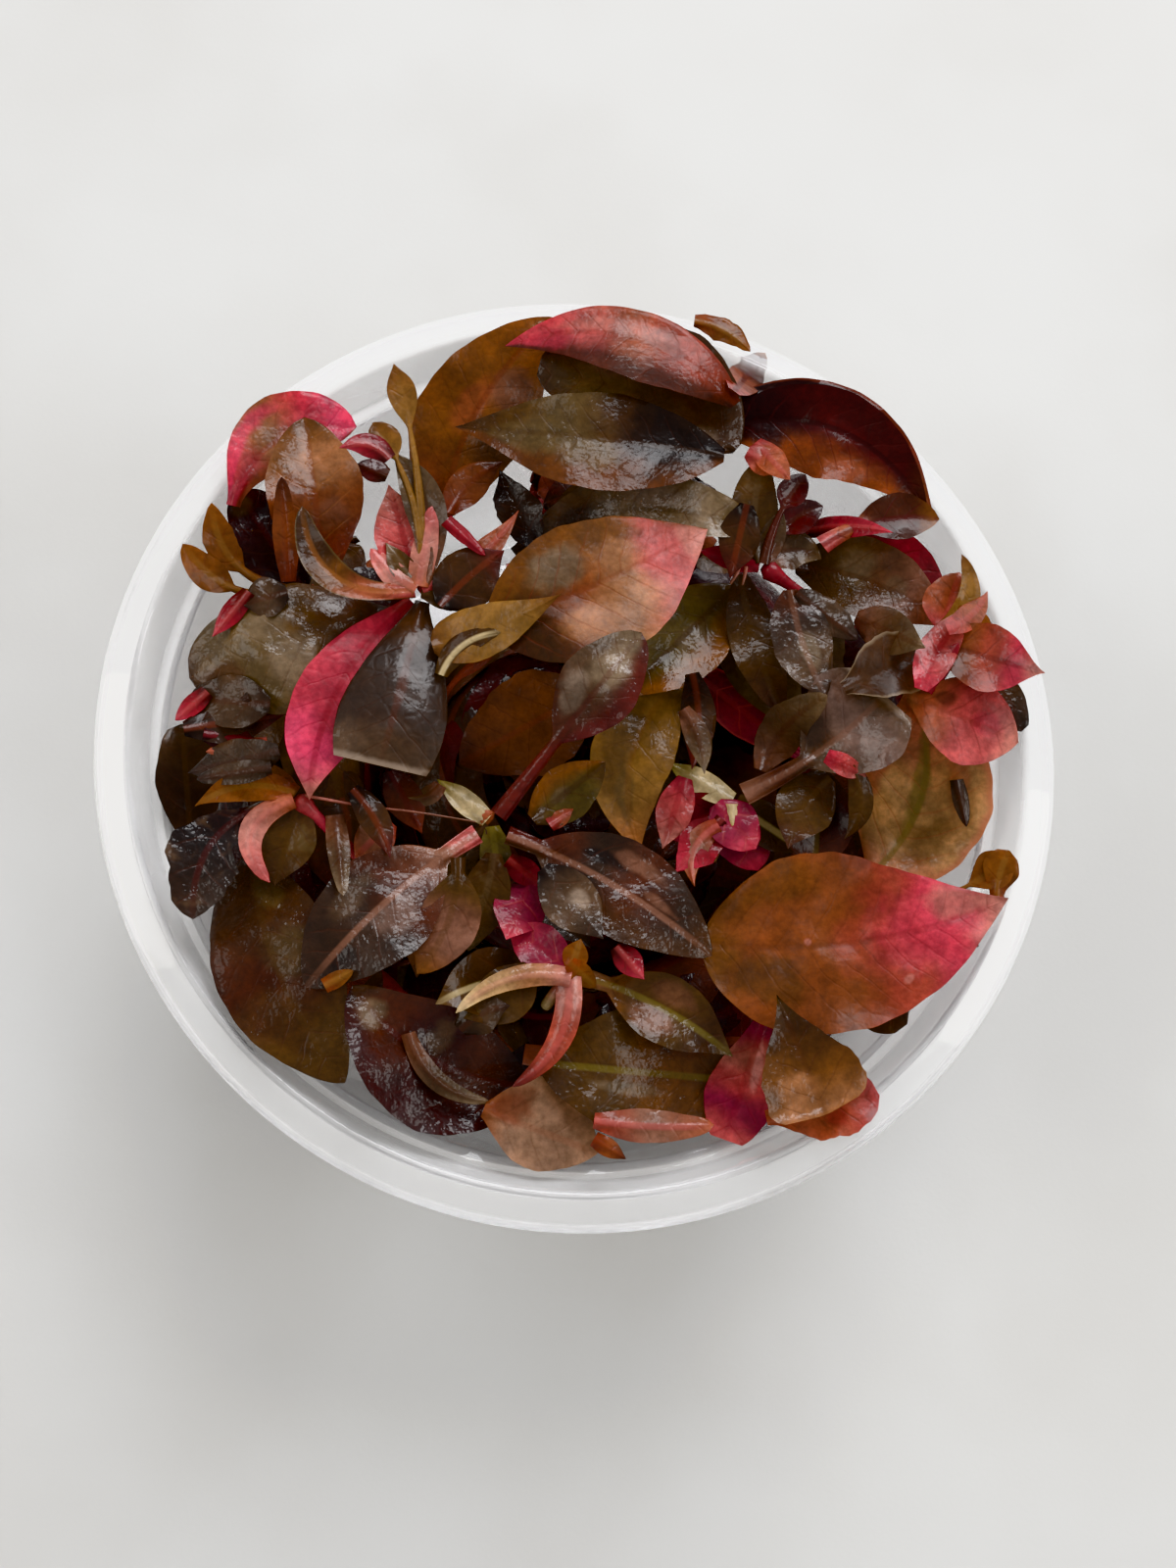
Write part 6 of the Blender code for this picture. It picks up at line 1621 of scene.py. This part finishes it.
@dataclass
class Studio:
    """The table, the light and the camera. Sizes are in metres."""

    focal_length: float = 40.5
    sensor: float = 36.0
    back: tuple[float, float, float] = (-0.0848, -0.2499, 0.9646)
    right: tuple[float, float, float] = (0.9962, 0.0, 0.0876)
    table_size: float = 6.0
    sky: str = "#f1f1f2"
    sky_strength: float = 0.62

    def camera(self) -> None:
        """Puts the camera at EYE, looking down into the tub as the photograph does."""
        back, right = Vector(self.back).normalized(), Vector(self.right).normalized()
        up = back.cross(right)
        data = bpy.data.cameras.new("camera")
        data.sensor_fit = "AUTO"
        data.sensor_width = self.sensor
        data.lens = self.focal_length
        data.clip_start = 0.01
        camera = bpy.data.objects.new("camera", data)
        camera.matrix_world = Matrix.Translation(EYE * MM) @ Matrix((right, up, back)).transposed().to_4x4()
        bpy.context.scene.collection.objects.link(camera)
        bpy.context.scene.camera = camera

    def table(self) -> None:
        """Lays the plain pale table top that the tub stands on."""
        bm = bmesh.new()
        bmesh.ops.create_grid(bm, x_segments=2, y_segments=2, size=self.table_size / 2.0)
        mesh = bpy.data.meshes.new("table_top")
        bm.to_mesh(mesh)
        bm.free()
        mesh.materials.append(TableTop().material())
        top = bpy.data.objects.new("table_top", mesh)
        bpy.context.scene.collection.objects.link(top)

    def lamp(self, name: str, place: tuple, size: float, power: float, colour: str) -> None:
        """Hangs one large soft lamp that points at the tub.

        Args:
            name: the lamp's name.
            place: where it hangs, in metres.
            size: the side of its square.
            power: its power in watts.
            colour: its colour.
        """
        data = bpy.data.lights.new(name, "AREA")
        data.shape = "SQUARE"
        data.size = size
        data.energy = power
        data.color = linear(colour)[:3]
        lamp = bpy.data.objects.new(name, data)
        lamp.location = place
        lamp.rotation_euler = (Vector((0.0, 0.0, 0.04)) - Vector(place)).to_track_quat("-Z", "Y").to_euler()
        bpy.context.scene.collection.objects.link(lamp)

    def light(self) -> None:
        """Lights the scene: an even pale sky, a large window behind the tub and two weaker lamps at the sides."""
        world = bpy.data.worlds.new("pale sky")
        world.use_nodes = True
        ground = world.node_tree.nodes["Background"]
        ground.inputs["Color"].default_value = linear(self.sky)
        ground.inputs["Strength"].default_value = self.sky_strength
        bpy.context.scene.world = world
        self.lamp("window", (0.3, 1.05, 0.95), 0.8, 15.5, "#fbfcff")
        self.lamp("side window", (1.1, -0.1, 0.8), 0.7, 5.5, "#fdfbf8")
        self.lamp("wall", (-1.1, 0.1, 0.8), 0.8, 5.5, "#fdf8f2")

    def build(self) -> None:
        """Sets up camera, table and light."""
        self.camera()
        self.table()
        self.light()
        bpy.context.scene.view_settings.view_transform = "Khronos PBR Neutral"


def main() -> None:
    """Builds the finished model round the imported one, piece by piece."""
    logging.basicConfig(level=logging.INFO, format="%(name)s: %(message)s")
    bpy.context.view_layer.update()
    finishes = Finishes()
    Studio().build()
    Tub().build(finishes)
    for cutting in WHOLE_CUTTINGS:
        cutting.build(finishes)
    heap = Lines(*(leaf.name for leaf in LOOSE_LEAVES), *(tip.name for tip in STEM_TIPS))
    for tip in STEM_TIPS:
        tip.build(finishes, heap)
    for leaf in LOOSE_LEAVES:
        bm = bmesh.new()
        leaf.add_to(bm, 0, leaf.cad_rows(Lines(leaf.name)), 0.0)
        finish_piece(f"{leaf.name}_blade", bm, [finishes.material(leaf.finish)], leaf.name)


if __name__ == "__main__":
    main()
